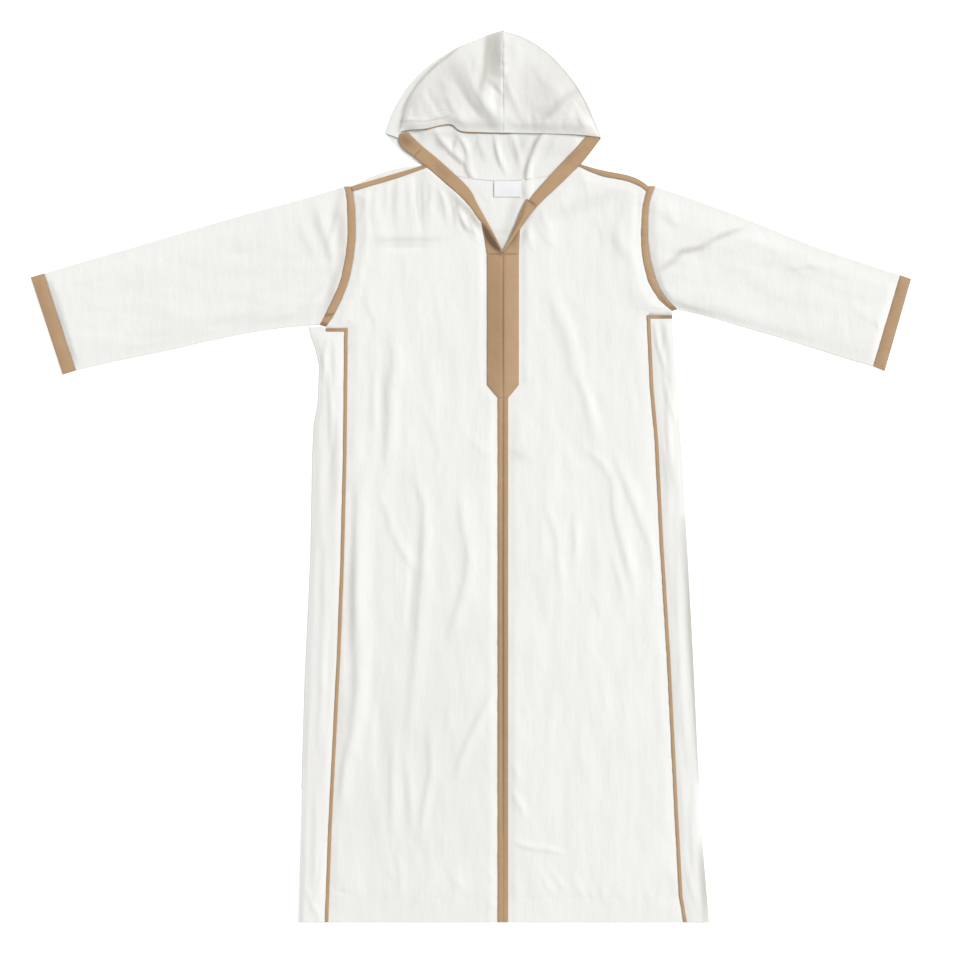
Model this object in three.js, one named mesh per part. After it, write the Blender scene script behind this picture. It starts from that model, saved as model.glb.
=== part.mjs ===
import * as THREE from "three";

// Hooded djellaba, laid flat with its front up.
// Millimetres, +Z up, +Y from the hem to the hood, +X to the viewer's right.
//
// Plan places are given per side as "out", the distance from the centre line, and "y", the distance
// above the hem. The cloth lies in two layers: the back layer rests on z = 0 and the front layer lies
// on it. Where a piece wraps round an edge, such as a sleeve, the two layers join in a round turn.

const { clamp, lerp, smoothstep } = THREE.MathUtils;

// Driving dimensions
const WALL = 1.2; // cloth
const TAPE = 1.0; // tapes and bands that lie on the cloth
const SEAM_GAP = 0.3; // between neighbouring pieces
const LAYER_GAP = 0.6; // between the two layers where they are pressed flat
const BAND_RISE = 0.4; // how far the armhole band stands above the cloth beside it
const PLACKET_HALF = 29.6; // half the width of the chest placket
const PLACKET_LOW = 993.5; // where the placket's sides end and its point starts
const CENTRE_HALF = 9.75; // half the width of the centre band
const CENTRE_TOP = 969.3; // where the placket's point meets the centre band
const PIPING_HALF = 3.2;
const SLIT_TOP = 250; // top of the side slits
const NECK_LOW = 1373; // lowest point of the back neckline
const LABEL = { width: 50, height: 30, wall: 0.5, out: 8.3, y: 1356 };
const EDGE_BAND = { width: 20, showing: 1.6 }; // facing under the hood's front edge
const EDGE_BAND_REACH = 0.67; // how much of that edge it follows, from the centre

const HALF_GAP = SEAM_GAP / 2;
const FLAT_TOP = 2 * WALL + LAYER_GAP; // top of the front layer where it is pressed flat
const HOOD_FACE_TOP = FLAT_TOP + 5.9; // top of the folded hood at its front edge
const HOOD_FOLD_TOP = FLAT_TOP + 1.6; // top of the folded hood at its outline
const PANEL_PUFF = 1.6; // how far the front panels stand up between their seams
const SLEEVE_PUFF = 3.0;
const GORE_PUFF = 1.2;
const HOOD_PUFF = 5.0;
const HEM_CALM = 0.4; // how much of the puff and folds is left at the hem

// Grids
const ROW_STEP = 50; // between the rows of the panels and gores
const SLEEVE_ROWS = 10;
const TURN_STEPS = 4; // faces round a turn
const PANEL_COLUMNS = [48, 78, 108, 138, 168, 198, 228, 258]; // out, at the foot of the armhole
const HOOD_COLUMNS = 11;
const HOOD_ROWS = 8;
const EDGE_STEPS = 8; // of the facing under the hood's front edge, on each side
const NECK_STEPS = 5; // of the back neckline, on each side
const SHOULDER_STEPS = 6; // of a shoulder's bowed edge on the back panel

const COLOURS = {
  cloth: { color: 0xf1f1ee, roughness: 0.85 },
  trim: { color: 0xb99a7a, roughness: 0.5 },
  label: { color: 0xfafafa, roughness: 0.7 },
};

// What differs between the two sides. Each table has one row for each section of its edge.
const SIDES = {
  left: {
    sign: -1,
    underarmY: 1095.5,
    cornerOut: 327.1, // outer end of the front panel under the arm
    goreRise: 5.6, // how far the gore's top rises beyond that corner
    // the seam between front panel and gore, and the gore's outer edge
    seam: [
      { y: 0, out: 326 },
      { y: 170, out: 320 },
      { y: 500, out: 303.3 },
      { y: 670, out: 297 },
      { y: 860, out: 292.4 },
      { y: 1100, out: 290 },
    ],
    edge: [
      { y: 0, out: 379.5 },
      { y: 133, out: 375.6 },
      { y: 410, out: 368 },
      { y: 670, out: 356.5 },
      { y: 865, out: 352.5 },
      { y: 920, out: 350 },
      { y: 960, out: 342.5 },
      { y: 1030, out: 340 },
      { y: 1060, out: 347 },
      { y: 1100, out: 361 },
    ],
    // the armhole band, from the underarm to the shoulder
    armhole: [
      { bodyOut: 327.1, bodyY: 1101.7, sleeveOut: 338.6, sleeveY: 1104.8 },
      { bodyOut: 308.0, bodyY: 1132.2, sleeveOut: 323.6, sleeveY: 1133.5 },
      { bodyOut: 285.3, bodyY: 1187.7, sleeveOut: 299.4, sleeveY: 1190.0 },
      { bodyOut: 273.6, bodyY: 1254.0, sleeveOut: 287.9, sleeveY: 1254.0 },
      { bodyOut: 273.4, bodyY: 1315.0, sleeveOut: 287.3, sleeveY: 1315.0 },
      { bodyOut: 276.0, bodyY: 1339.5, sleeveOut: 288.8, sleeveY: 1339.5 },
      { bodyOut: 279.4, bodyY: 1361.0, sleeveOut: 293.4, sleeveY: 1361.0 },
    ],
    // the sleeve's two folded edges, from the armhole to the cuff
    sleeve: [
      { topOut: 293.4, topY: 1361, lowOut: 338.6, lowY: 1104.8 },
      { topOut: 385, topY: 1334, lowOut: 413, lowY: 1098 },
      { topOut: 480, topY: 1308.5, lowOut: 488, lowY: 1086 },
      { topOut: 575, topY: 1280.5, lowOut: 563, lowY: 1070 },
      { topOut: 668, topY: 1253, lowOut: 640, lowY: 1052.5 },
      { topOut: 760, topY: 1226.5, lowOut: 715, lowY: 1037.5 },
      { topOut: 849, topY: 1200, lowOut: 790, lowY: 1020 },
    ],
    cuff: { topOut: 873.2, topY: 1193, lowOut: 814, lowY: 1012.5 },
    // the neck band, from the point of the V, past the shoulder, to the hood's corner
    neck: [
      { outerOut: 0.9, outerY: 1238, innerOut: 0.15, innerY: 1241 },
      { outerOut: 17.6, outerY: 1266.5, innerOut: 14.6, innerY: 1268.7 },
      { outerOut: 39.6, outerY: 1294, innerOut: 31.4, innerY: 1299.8 },
      { outerOut: 60.1, outerY: 1321.8, innerOut: 47.2, innerY: 1328.4 },
      { outerOut: 81.4, outerY: 1345.1, innerOut: 66.1, innerY: 1361 },
      { outerOut: 137, outerY: 1392.9, innerOut: 119.7, innerY: 1411 },
      { outerOut: 146, outerY: 1400, innerOut: 128.5, innerY: 1418.4 },
      { outerOut: 165.5, outerY: 1416, innerOut: 150.5, innerY: 1436.5 },
      { outerOut: 187.8, outerY: 1434, innerOut: 166.5, innerY: 1452 },
      { outerOut: 195, outerY: 1455, innerOut: 178, innerY: 1463 },
    ],
    frontCrown: 0, // how far the front panel's shoulder edge bows up
    backCrown: 9.5, // the same for the back panel, which shows past it
    bow: { scale: 4, power: 1 }, // the bow's form: scale * t^power * (1 - t), 1 at its highest
    tapeTaper: 0.4, // the share of its width that the shoulder tape loses at the neck
    // the hood, from the peak to the corner: its outline, the crease inside it and the front edge
    hood: [
      { out: 0, y: 1650, creaseIn: 4, faceOut: 0, faceY: 1459 },
      { out: 42, y: 1636, creaseIn: 6, faceOut: 40, faceY: 1460 },
      { out: 88, y: 1615.5, creaseIn: 8, faceOut: 78, faceY: 1462.5 },
      { out: 135.6, y: 1585.8, creaseIn: 13, faceOut: 99, faceY: 1475 },
      { out: 175.4, y: 1546, creaseIn: 16, faceOut: 143, faceY: 1467 },
      { out: 203, y: 1500, creaseIn: 20, faceOut: 172, faceY: 1465 },
      { out: 218.3, y: 1459, creaseIn: 26, faceOut: 190, faceY: 1462.5 },
    ],
    hoodSide: { out: 184, y: 1414 }, // a point that the hood's lower side edge bends through
    hoodFoldTop: FLAT_TOP,
  },
  right: {
    sign: 1,
    underarmY: 1119.5,
    cornerOut: 313.2,
    goreRise: 0,
    seam: [
      { y: 0, out: 337 },
      { y: 50, out: 328.7 },
      { y: 190, out: 321.3 },
      { y: 495, out: 306 },
      { y: 705, out: 293 },
      { y: 887, out: 284.2 },
      { y: 985, out: 275.3 },
      { y: 1120, out: 269 },
    ],
    edge: [
      { y: 0, out: 383 },
      { y: 133, out: 372 },
      { y: 300, out: 361 },
      { y: 503, out: 351.5 },
      { y: 670, out: 342.5 },
      { y: 873, out: 331 },
      { y: 1040, out: 318 },
      { y: 1120, out: 313.4 },
    ],
    armhole: [
      { bodyOut: 313.4, bodyY: 1130.4, sleeveOut: 321.5, sleeveY: 1133.5 },
      { bodyOut: 287.6, bodyY: 1153.0, sleeveOut: 297.0, sleeveY: 1160.0 },
      { bodyOut: 266.6, bodyY: 1193.0, sleeveOut: 280.0, sleeveY: 1197.4 },
      { bodyOut: 256.2, bodyY: 1250.0, sleeveOut: 269.0, sleeveY: 1250.0 },
      { bodyOut: 257.6, bodyY: 1312.0, sleeveOut: 268.7, sleeveY: 1312.0 },
      { bodyOut: 262.0, bodyY: 1339.5, sleeveOut: 273.2, sleeveY: 1339.5 },
      { bodyOut: 268.4, bodyY: 1361.5, sleeveOut: 281.2, sleeveY: 1361.5 },
    ],
    sleeve: [
      { topOut: 281.2, topY: 1361.5, lowOut: 321.5, lowY: 1133.5 },
      { topOut: 355, topY: 1336.5, lowOut: 382, lowY: 1119 },
      { topOut: 431, topY: 1308.5, lowOut: 443, lowY: 1101 },
      { topOut: 507, topY: 1278, lowOut: 504, lowY: 1083.5 },
      { topOut: 583, topY: 1247.5, lowOut: 564, lowY: 1065 },
      { topOut: 659, topY: 1221.5, lowOut: 624, lowY: 1046 },
      { topOut: 734.5, topY: 1197, lowOut: 684.5, lowY: 1028 },
    ],
    cuff: { topOut: 754.8, topY: 1189.6, lowOut: 706, lowY: 1019.5 },
    neck: [
      { outerOut: 0.9, outerY: 1238, innerOut: 0.15, innerY: 1241 },
      { outerOut: 16, outerY: 1259, innerOut: 11, innerY: 1262.4 },
      { outerOut: 31.3, outerY: 1281.3, innerOut: 21.6, innerY: 1287.6 },
      { outerOut: 61.4, outerY: 1322, innerOut: 43.8, innerY: 1337.4 },
      { outerOut: 100, outerY: 1359.4, innerOut: 81.2, innerY: 1378.8 },
      { outerOut: 134, outerY: 1392.4, innerOut: 115.2, innerY: 1411.6 },
      { outerOut: 144, outerY: 1402, innerOut: 125, innerY: 1421.4 },
      { outerOut: 157, outerY: 1417.5, innerOut: 137, innerY: 1434.5 },
      { outerOut: 170, outerY: 1434, innerOut: 148, innerY: 1447 },
      { outerOut: 180.5, outerY: 1449.5, innerOut: 160, innerY: 1458 },
    ],
    frontCrown: 7.8,
    backCrown: 8.3,
    bow: { scale: 256 / 27, power: 3 },
    tapeTaper: 0.65,
    hood: [
      { out: 0, y: 1650, creaseIn: 4, faceOut: 0, faceY: 1459 },
      { out: 42.6, y: 1635.4, creaseIn: 5, faceOut: 30, faceY: 1458.5 },
      { out: 87, y: 1606, creaseIn: 5, faceOut: 60, faceY: 1458 },
      { out: 127, y: 1562, creaseIn: 5, faceOut: 92, faceY: 1457.5 },
      { out: 151.5, y: 1524, creaseIn: 5, faceOut: 124, faceY: 1456.5 },
      { out: 168.5, y: 1487, creaseIn: 5, faceOut: 154, faceY: 1454.5 },
      { out: 184, y: 1450, creaseIn: 4, faceOut: 180, faceY: 1451.5 },
    ],
    hoodSide: { out: 164, y: 1425 },
    hoodFoldTop: HOOD_FOLD_TOP,
  },
};

// The largest folds: soft ridges (rise above 0) and troughs (rise below 0) along a straight line
const FOLDS = {
  front_left: [
    { fromOut: 155, fromY: 1385, toOut: 157, toY: 1300, halfWidth: 7, rise: 3.2 },
    { fromOut: 208, fromY: 1362, toOut: 210, toY: 1290, halfWidth: 11, rise: 1.8 },
    { fromOut: 92, fromY: 1350, toOut: 76, toY: 1288, halfWidth: 8, rise: 2.6 },
    { fromOut: 190, fromY: 1075, toOut: 192, toY: 880, halfWidth: 14, rise: 3.4 },
    { fromOut: 217, fromY: 1060, toOut: 224, toY: 885, halfWidth: 13, rise: -2.2 },
    { fromOut: 222, fromY: 800, toOut: 190, toY: 680, halfWidth: 12, rise: 2.0 },
    { fromOut: 256, fromY: 880, toOut: 254, toY: 330, halfWidth: 14, rise: 4.2 },
    { fromOut: 281, fromY: 860, toOut: 276, toY: 360, halfWidth: 11, rise: -2.2 },
    { fromOut: 146, fromY: 800, toOut: 160, toY: 500, halfWidth: 12, rise: 3.0 },
    { fromOut: 84, fromY: 830, toOut: 78, toY: 660, halfWidth: 12, rise: 2.4 },
    { fromOut: 82, fromY: 650, toOut: 96, toY: 540, halfWidth: 12, rise: 2.0 },
    { fromOut: 30, fromY: 420, toOut: 84, toY: 290, halfWidth: 9, rise: 2.2 },
    { fromOut: 150, fromY: 380, toOut: 160, toY: 170, halfWidth: 11, rise: 2.2 },
    { fromOut: 196, fromY: 360, toOut: 190, toY: 150, halfWidth: 12, rise: 2.0 },
  ],
  front_right: [
    { fromOut: 205, fromY: 1270, toOut: 235, toY: 1235, halfWidth: 14, rise: 1.6 },
    { fromOut: 92, fromY: 1145, toOut: 132, toY: 1020, halfWidth: 14, rise: 3.0 },
    { fromOut: 132, fromY: 1020, toOut: 188, toY: 860, halfWidth: 14, rise: 3.4 },
    { fromOut: 188, fromY: 860, toOut: 266, toY: 680, halfWidth: 13, rise: 3.0 },
    { fromOut: 152, fromY: 990, toOut: 196, toY: 850, halfWidth: 12, rise: -1.8 },
    { fromOut: 222, fromY: 870, toOut: 262, toY: 760, halfWidth: 10, rise: 2.8 },
    { fromOut: 72, fromY: 810, toOut: 106, toY: 640, halfWidth: 12, rise: 2.6 },
    { fromOut: 128, fromY: 760, toOut: 152, toY: 610, halfWidth: 12, rise: 2.4 },
    { fromOut: 182, fromY: 700, toOut: 214, toY: 580, halfWidth: 12, rise: 2.0 },
    { fromOut: 140, fromY: 380, toOut: 160, toY: 240, halfWidth: 14, rise: 1.6 },
  ],
  gore_left: [
    { fromOut: 322, fromY: 1060, toOut: 318, toY: 900, halfWidth: 8, rise: 1.8 },
    { fromOut: 332, fromY: 700, toOut: 340, toY: 330, halfWidth: 9, rise: 1.4 },
  ],
  gore_right: [
    { fromOut: 282, fromY: 1105, toOut: 302, toY: 1010, halfWidth: 7, rise: 2.0 },
    { fromOut: 305, fromY: 960, toOut: 312, toY: 820, halfWidth: 8, rise: 1.6 },
    { fromOut: 322, fromY: 640, toOut: 340, toY: 300, halfWidth: 9, rise: 1.4 },
  ],
  sleeve_left: [
    { fromOut: 302, fromY: 1335, toOut: 322, toY: 1255, halfWidth: 9, rise: 2.8 },
    { fromOut: 340, fromY: 1330, toOut: 318, toY: 1250, halfWidth: 12, rise: 2.0 },
    { fromOut: 370, fromY: 1130, toOut: 470, toY: 1112, halfWidth: 14, rise: 2.0 },
  ],
  sleeve_right: [
    { fromOut: 305, fromY: 1230, toOut: 365, toY: 1248, halfWidth: 9, rise: 3.2 },
    { fromOut: 365, fromY: 1248, toOut: 442, toY: 1282, halfWidth: 9, rise: 2.8 },
    { fromOut: 565, fromY: 1214, toOut: 592, toY: 1214, halfWidth: 10, rise: 1.4 },
    { fromOut: 345, fromY: 1140, toOut: 470, toY: 1112, halfWidth: 10, rise: 2.2 },
  ],
  hood_left: [
    { fromOut: 12, fromY: 1635, toOut: 14, toY: 1575, halfWidth: 16, rise: -3.0 },
    { fromOut: 84, fromY: 1548, toOut: 26, toY: 1478, halfWidth: 11, rise: -3.4 },
    { fromOut: 60, fromY: 1560, toOut: 20, toY: 1500, halfWidth: 10, rise: 2.4 },
    { fromOut: 140, fromY: 1545, toOut: 162, toY: 1490, halfWidth: 12, rise: 2.2 },
  ],
  hood_right: [
    { fromOut: 126, fromY: 1520, toOut: 76, toY: 1484, halfWidth: 11, rise: -2.6 },
    { fromOut: 110, fromY: 1535, toOut: 60, toY: 1500, halfWidth: 14, rise: 1.8 },
  ],
};

// A smooth curve through four values, between the second and the third
function betweenFour(a, b, c, d, t) {
  const slopeIn = (c - a) / 2;
  const slopeOut = (d - b) / 2;
  const square = t * t;
  const cube = square * t;
  return (
    b * (2 * cube - 3 * square + 1) +
    c * (3 * square - 2 * cube) +
    slopeIn * (cube - 2 * square + t) +
    slopeOut * (cube - square)
  );
}

// The row of a table at t from 0 to 1 along it, on a smooth curve through each column
function smoothRow(table, t) {
  const last = table.length - 1;
  const index = Math.min(Math.floor(t * last), last - 1);
  const rest = t * last - index;
  const row = {};
  for (const name of Object.keys(table[0])) {
    const value = (step) => table[clamp(index + step, 0, last)][name];
    row[name] = betweenFour(value(-1), value(0), value(1), value(2), rest);
  }
  return row;
}

// A table's "out" at a height, straight between its rows
function outAt(table, y) {
  let index = 0;
  while (index < table.length - 2 && table[index + 1].y < y) index += 1;
  const [low, high] = [table[index], table[index + 1]];
  return lerp(low.out, high.out, (y - low.y) / (high.y - low.y));
}

// How far a piece's folds lift its cloth at a place
function foldRise(folds, out, y) {
  let rise = 0;
  for (const fold of folds) {
    const runOut = fold.toOut - fold.fromOut;
    const runY = fold.toY - fold.fromY;
    const along = ((out - fold.fromOut) * runOut + (y - fold.fromY) * runY) / (runOut ** 2 + runY ** 2);
    const nearest = clamp(along, 0, 1);
    const distance = Math.hypot(out - fold.fromOut - nearest * runOut, y - fold.fromY - nearest * runY);
    rise += fold.rise * Math.exp(-((distance / fold.halfWidth) ** 2));
  }
  return rise;
}

// The top of the front layer: pressed flat where calm is 0, puffed and folded where it is 1
function layerTop(name, puff, calm, out, y) {
  const lift = puff + foldRise(FOLDS[name], out, y);
  return FLAT_TOP + calm * Math.max(lift, SEAM_GAP - LAYER_GAP);
}

// A plan place between two others
function between(a, b, t) {
  return { out: lerp(a.out, b.out, t), y: lerp(a.y, b.y, t) };
}

// A place moved a distance towards another, or away from it when the distance is below 0
function towards(a, b, distance) {
  return between(a, b, distance / Math.hypot(b.out - a.out, b.y - a.y));
}

// The patch between four plan edges: two that run with s and two that run with t
function patch(startEdge, endEdge, lowEdge, highEdge, t, s) {
  const place = {};
  for (const axis of ["out", "y"]) {
    const ruledT = lerp(startEdge(s)[axis], endEdge(s)[axis], t);
    const ruledS = lerp(lowEdge(t)[axis], highEdge(t)[axis], s);
    const nearCorners = lerp(startEdge(0)[axis], startEdge(1)[axis], s);
    const farCorners = lerp(endEdge(0)[axis], endEdge(1)[axis], s);
    place[axis] = ruledT + ruledS - lerp(nearCorners, farCorners, t);
  }
  return place;
}

// The points round a turn from the front layer to the back one, on the wall's outside and inside
function turnPoints(inset, outward, top, wall, downwards) {
  const outer = [];
  const inner = [];
  for (let step = 1; step < TURN_STEPS; step += 1) {
    const angle = (0.5 - step / TURN_STEPS) * Math.PI * (downwards ? 1 : -1);
    for (const [list, radius] of [[outer, top / 2], [inner, top / 2 - wall]]) {
      const reach = radius * Math.cos(angle);
      list.push({
        out: inset.out + outward.out * reach,
        y: inset.y + outward.y * reach,
        z: top / 2 + radius * Math.sin(angle),
      });
    }
  }
  return { outer, inner };
}

// A section through two layers. The front layer's places carry the height of its top. It turns down
// into the back layer past its last place, and up again past the first one where it is a tube.
function layeredSection(front, back, wall, isTube) {
  const outer = front.map(({ out, y, z }) => ({ out, y, z }));
  const inner = front.map(({ out, y, z }) => ({ out, y, z: z - wall }));
  const addTurn = (inset, neighbour, downwards) => {
    const length = Math.hypot(inset.out - neighbour.out, inset.y - neighbour.y);
    const outward = { out: (inset.out - neighbour.out) / length, y: (inset.y - neighbour.y) / length };
    const turn = turnPoints(inset, outward, inset.z, wall, downwards);
    outer.push(...turn.outer);
    inner.push(...turn.inner);
  };
  addTurn(front.at(-1), front.at(-2), true);
  outer.push(...back.map(({ out, y }) => ({ out, y, z: 0 })));
  inner.push(...back.map(({ out, y }) => ({ out, y, z: wall })));
  if (isTube) addTurn(front[0], front[1], false);
  return { outer, inner };
}

// A section through one layer, whose places carry the height of its top
function sheetSection(places, wall) {
  return {
    outer: places.map(({ out, y, z }) => ({ out, y, z })),
    inner: places.map(({ out, y, z }) => ({ out, y, z: z - wall })),
  };
}

// A closed wall of cloth through a list of sections. isCut names the faces that are left out.
function clothWall(sections, sign, { around = false, isCut = () => false } = {}) {
  const width = sections[0].outer.length;
  const across = around ? width : width - 1;
  const isFace = (i, j) => {
    const inside = i >= 0 && i < sections.length - 1 && (around || (j >= 0 && j < across));
    return inside && !isCut(i, (j + width) % width);
  };
  const point = (side, i, j) => sections[i][side][(j + width) % width];
  const triangles = [];
  const addQuad = (a, b, c, d) => triangles.push([a, b, c], [a, c, d]);
  for (let i = 0; i < sections.length - 1; i += 1) {
    for (let j = 0; j < across; j += 1) {
      if (!isFace(i, j)) continue;
      const corners = [[i, j], [i, j + 1], [i + 1, j + 1], [i + 1, j]];
      const outer = corners.map(([row, column]) => point("outer", row, column));
      const inner = corners.map(([row, column]) => point("inner", row, column));
      addQuad(outer[0], outer[1], outer[2], outer[3]);
      triangles.push([inner[2], inner[1], inner[0]], [inner[3], inner[2], inner[0]]);
      const beside = [[i - 1, j], [i, j + 1], [i + 1, j], [i, j - 1]];
      beside.forEach(([row, column], edge) => {
        const next = (edge + 1) % 4;
        if (!isFace(row, column)) addQuad(outer[next], outer[edge], inner[edge], inner[next]);
      });
    }
  }
  return solidFrom(triangles, sign);
}

// A geometry from triangles of places, on one side of the centre line, with its faces pointing out
function solidFrom(triangles, sign) {
  const corner = ({ out, y, z }) => new THREE.Vector3(out * sign, y, z);
  const faces = triangles.map((triangle) => triangle.map(corner));
  const volume = faces.reduce((sum, [a, b, c]) => sum + a.dot(b.clone().cross(c)), 0);
  const ordered = volume < 0 ? faces.map(([a, b, c]) => [a, c, b]) : faces;
  return new THREE.BufferGeometry().setFromPoints(ordered.flat());
}

// A flat piece with the given outline, between two heights
function flatPiece(outline, sign, low, wall) {
  const shape = new THREE.Shape(outline.map(({ out, y }) => new THREE.Vector2(out * sign, y)));
  const geometry = new THREE.ExtrudeGeometry(shape, { depth: wall, bevelEnabled: false });
  return geometry.translate(0, 0, low);
}

// The heights of the rows that the front panels, gores and piping share, up to the underarm
function bodyHeights(side) {
  const heights = [];
  for (let y = 0; y < side.underarmY - ROW_STEP / 3; y += ROW_STEP) heights.push(y);
  return heights;
}

// The armhole band's sections, from the underarm to the shoulder
function armholeSections(side) {
  const count = (side.armhole.length - 1) * 2;
  return Array.from({ length: count + 1 }, (_, index) => smoothRow(side.armhole, index / count));
}

// The body's edge along an armhole, half a seam gap back
function armholeEdge(side) {
  return armholeSections(side).map((row) => {
    const body = { out: row.bodyOut, y: row.bodyY };
    return towards(body, { out: row.sleeveOut, y: row.sleeveY }, -HALF_GAP);
  });
}

// The outer edge of the neck band, moved a distance towards its inner edge
function neckEdge(side, distance) {
  return side.neck.map((row) => {
    const outer = { out: row.outerOut, y: row.outerY };
    return towards(outer, { out: row.innerOut, y: row.innerY }, distance);
  });
}

const SHOULDER_ROW = 6; // the row of the neck table at the shoulder seam

// How far a shoulder edge bows up at a share of its length from the neck, for a bow of 1 mm
function bowed(side, t) {
  return side.bow.scale * t ** side.bow.power * (1 - t);
}

// The rows of places of a front panel, from the hem to the shoulder, with how calm each place is
function frontPanelRows(side) {
  const seamTop = outAt(side.seam, side.underarmY) - HALF_GAP;
  const corner = side.cornerOut - HALF_GAP;
  const first = PANEL_COLUMNS[0];
  const middle = PANEL_COLUMNS.filter((out) => out < seamTop - 2 * PIPING_HALF);
  const stretch = (out, width) => lerp(first, width, (out - first) / (corner - first));
  const fixed = [HALF_GAP, CENTRE_HALF + HALF_GAP, PLACKET_HALF + SEAM_GAP];
  const wide = [...middle, seamTop - PIPING_HALF, seamTop, (seamTop + corner) / 2, corner];
  const calmAcross = [0, 0, 0, 0.5, ...middle.slice(1).map(() => 1), 0, 0, 0, 0];

  const rows = [];
  const addRow = (places, calmAlong) => {
    rows.push(places.map((place, column) => ({ ...place, calm: calmAlong * calmAcross[column] })));
  };
  for (const y of bodyHeights(side)) {
    const seam = outAt(side.seam, y) - HALF_GAP;
    const scale = (out) => lerp(first, seam, (out - first) / (seamTop - first));
    const outs = [...fixed, ...middle.map(scale), seam - PIPING_HALF, seam, seam + 1, seam + 2];
    addRow(outs.map((out) => ({ out, y })), y === 0 ? HEM_CALM : 1);
  }
  const stepY = side.underarmY + HALF_GAP;
  addRow([...fixed, ...wide].map((out) => ({ out, y: stepY })), 1);

  const armhole = armholeEdge(side);
  const neck = neckEdge(side, -HALF_GAP);
  const firstNeckRow = armhole.length - 1 - SHOULDER_ROW;
  const neckWidth = armhole[firstNeckRow].out;
  const neckOuts = [...fixed, ...wide.map((out) => stretch(out, neckWidth))];
  armhole.forEach((outer, index) => {
    const neckRow = index - firstNeckRow;
    if (neckRow < 0) {
      const rise = (outer.y - armhole[0].y) / (armhole[firstNeckRow].y - armhole[0].y);
      const innerY = lerp(armhole[0].y, neck[0].y, rise);
      const outs = [...fixed, ...wide.map((out) => stretch(out, outer.out))];
      const places = outs.map((out) => {
        return { out, y: lerp(innerY, outer.y, (out - HALF_GAP) / (outer.out - HALF_GAP)) };
      });
      addRow(places, 1);
      return;
    }
    const crown = neckRow >= SHOULDER_ROW - 1 ? side.frontCrown : 0;
    const places = neckOuts.map((out) => {
      const t = (out - HALF_GAP) / (neckWidth - HALF_GAP);
      const place = between(neck[neckRow], outer, t);
      return { out: place.out, y: place.y + crown * bowed(side, t) };
    });
    addRow(places, neckRow >= SHOULDER_ROW - 1 ? 0 : 1);
  });
  return { rows, seamColumn: fixed.length + middle.length + 1, stepRow: bodyHeights(side).length };
}

function frontPanel(name, side) {
  const { rows, seamColumn, stepRow } = frontPanelRows(side);
  const sections = rows.map((places) => {
    const raised = places.map((place) => {
      return { ...place, z: layerTop(name, PANEL_PUFF, place.calm, place.out, place.y) };
    });
    return sheetSection(raised, WALL);
  });
  const isCut = (row, column) => row < stepRow && column >= seamColumn;
  return clothWall(sections, side.sign, { isCut });
}

const TAPER_LENGTH = 0.4; // of a shoulder tape's length

// The tape along the shoulder: the last two rows of the front panel, moved up, narrower at the neck
function shoulderTape(side) {
  const z = FLAT_TOP + SEAM_GAP + TAPE;
  const { rows } = frontPanelRows(side);
  const [foot, top] = rows.slice(-2);
  const length = foot.at(-1).out - foot[0].out;
  const low = foot.map((place, column) => {
    const t = (place.out - foot[0].out) / length;
    return between(place, top[column], side.tapeTaper * Math.max(0, 1 - t / TAPER_LENGTH));
  });
  const sections = [low, top].map((places) => {
    return sheetSection(places.map((place) => ({ ...place, z })), TAPE);
  });
  return clothWall(sections, side.sign);
}

// The back panel: one flat piece from hem to shoulders, with its edges half a seam gap back
function backPanel() {
  const outline = [];
  for (const side of [SIDES.right, SIDES.left]) {
    const heights = [...bodyHeights(side), side.underarmY + HALF_GAP];
    const half = heights.map((y) => ({ out: outAt(side.seam, y) - HALF_GAP, y }));
    half.push({ out: side.cornerOut - HALF_GAP, y: side.underarmY + HALF_GAP });
    const armhole = armholeEdge(side);
    half.push(...armhole);
    const neck = backNeck(side, 1, -HALF_GAP);
    for (let step = 1; step < SHOULDER_STEPS; step += 1) {
      const t = step / SHOULDER_STEPS;
      const place = between(armhole.at(-1), neck, t);
      half.push({ out: place.out, y: place.y + side.backCrown * bowed(side, 1 - t) });
    }
    for (let step = NECK_STEPS; step >= 0; step -= 1) {
      half.push(backNeck(side, step / NECK_STEPS, -HALF_GAP));
    }
    const placed = half.map(({ out, y }) => ({ out: out * side.sign, y }));
    if (side === SIDES.left) placed.reverse();
    outline.push(...placed);
  }
  return flatPiece(outline, 1, 0, WALL);
}

// The back neckline, from the centre to the neck end of the shoulder seam
function backNeck(side, t, raise) {
  const end = side.neck[SHOULDER_ROW];
  return { out: end.outerOut * t, y: lerp(NECK_LOW, end.outerY, t * t) + raise };
}

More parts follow.
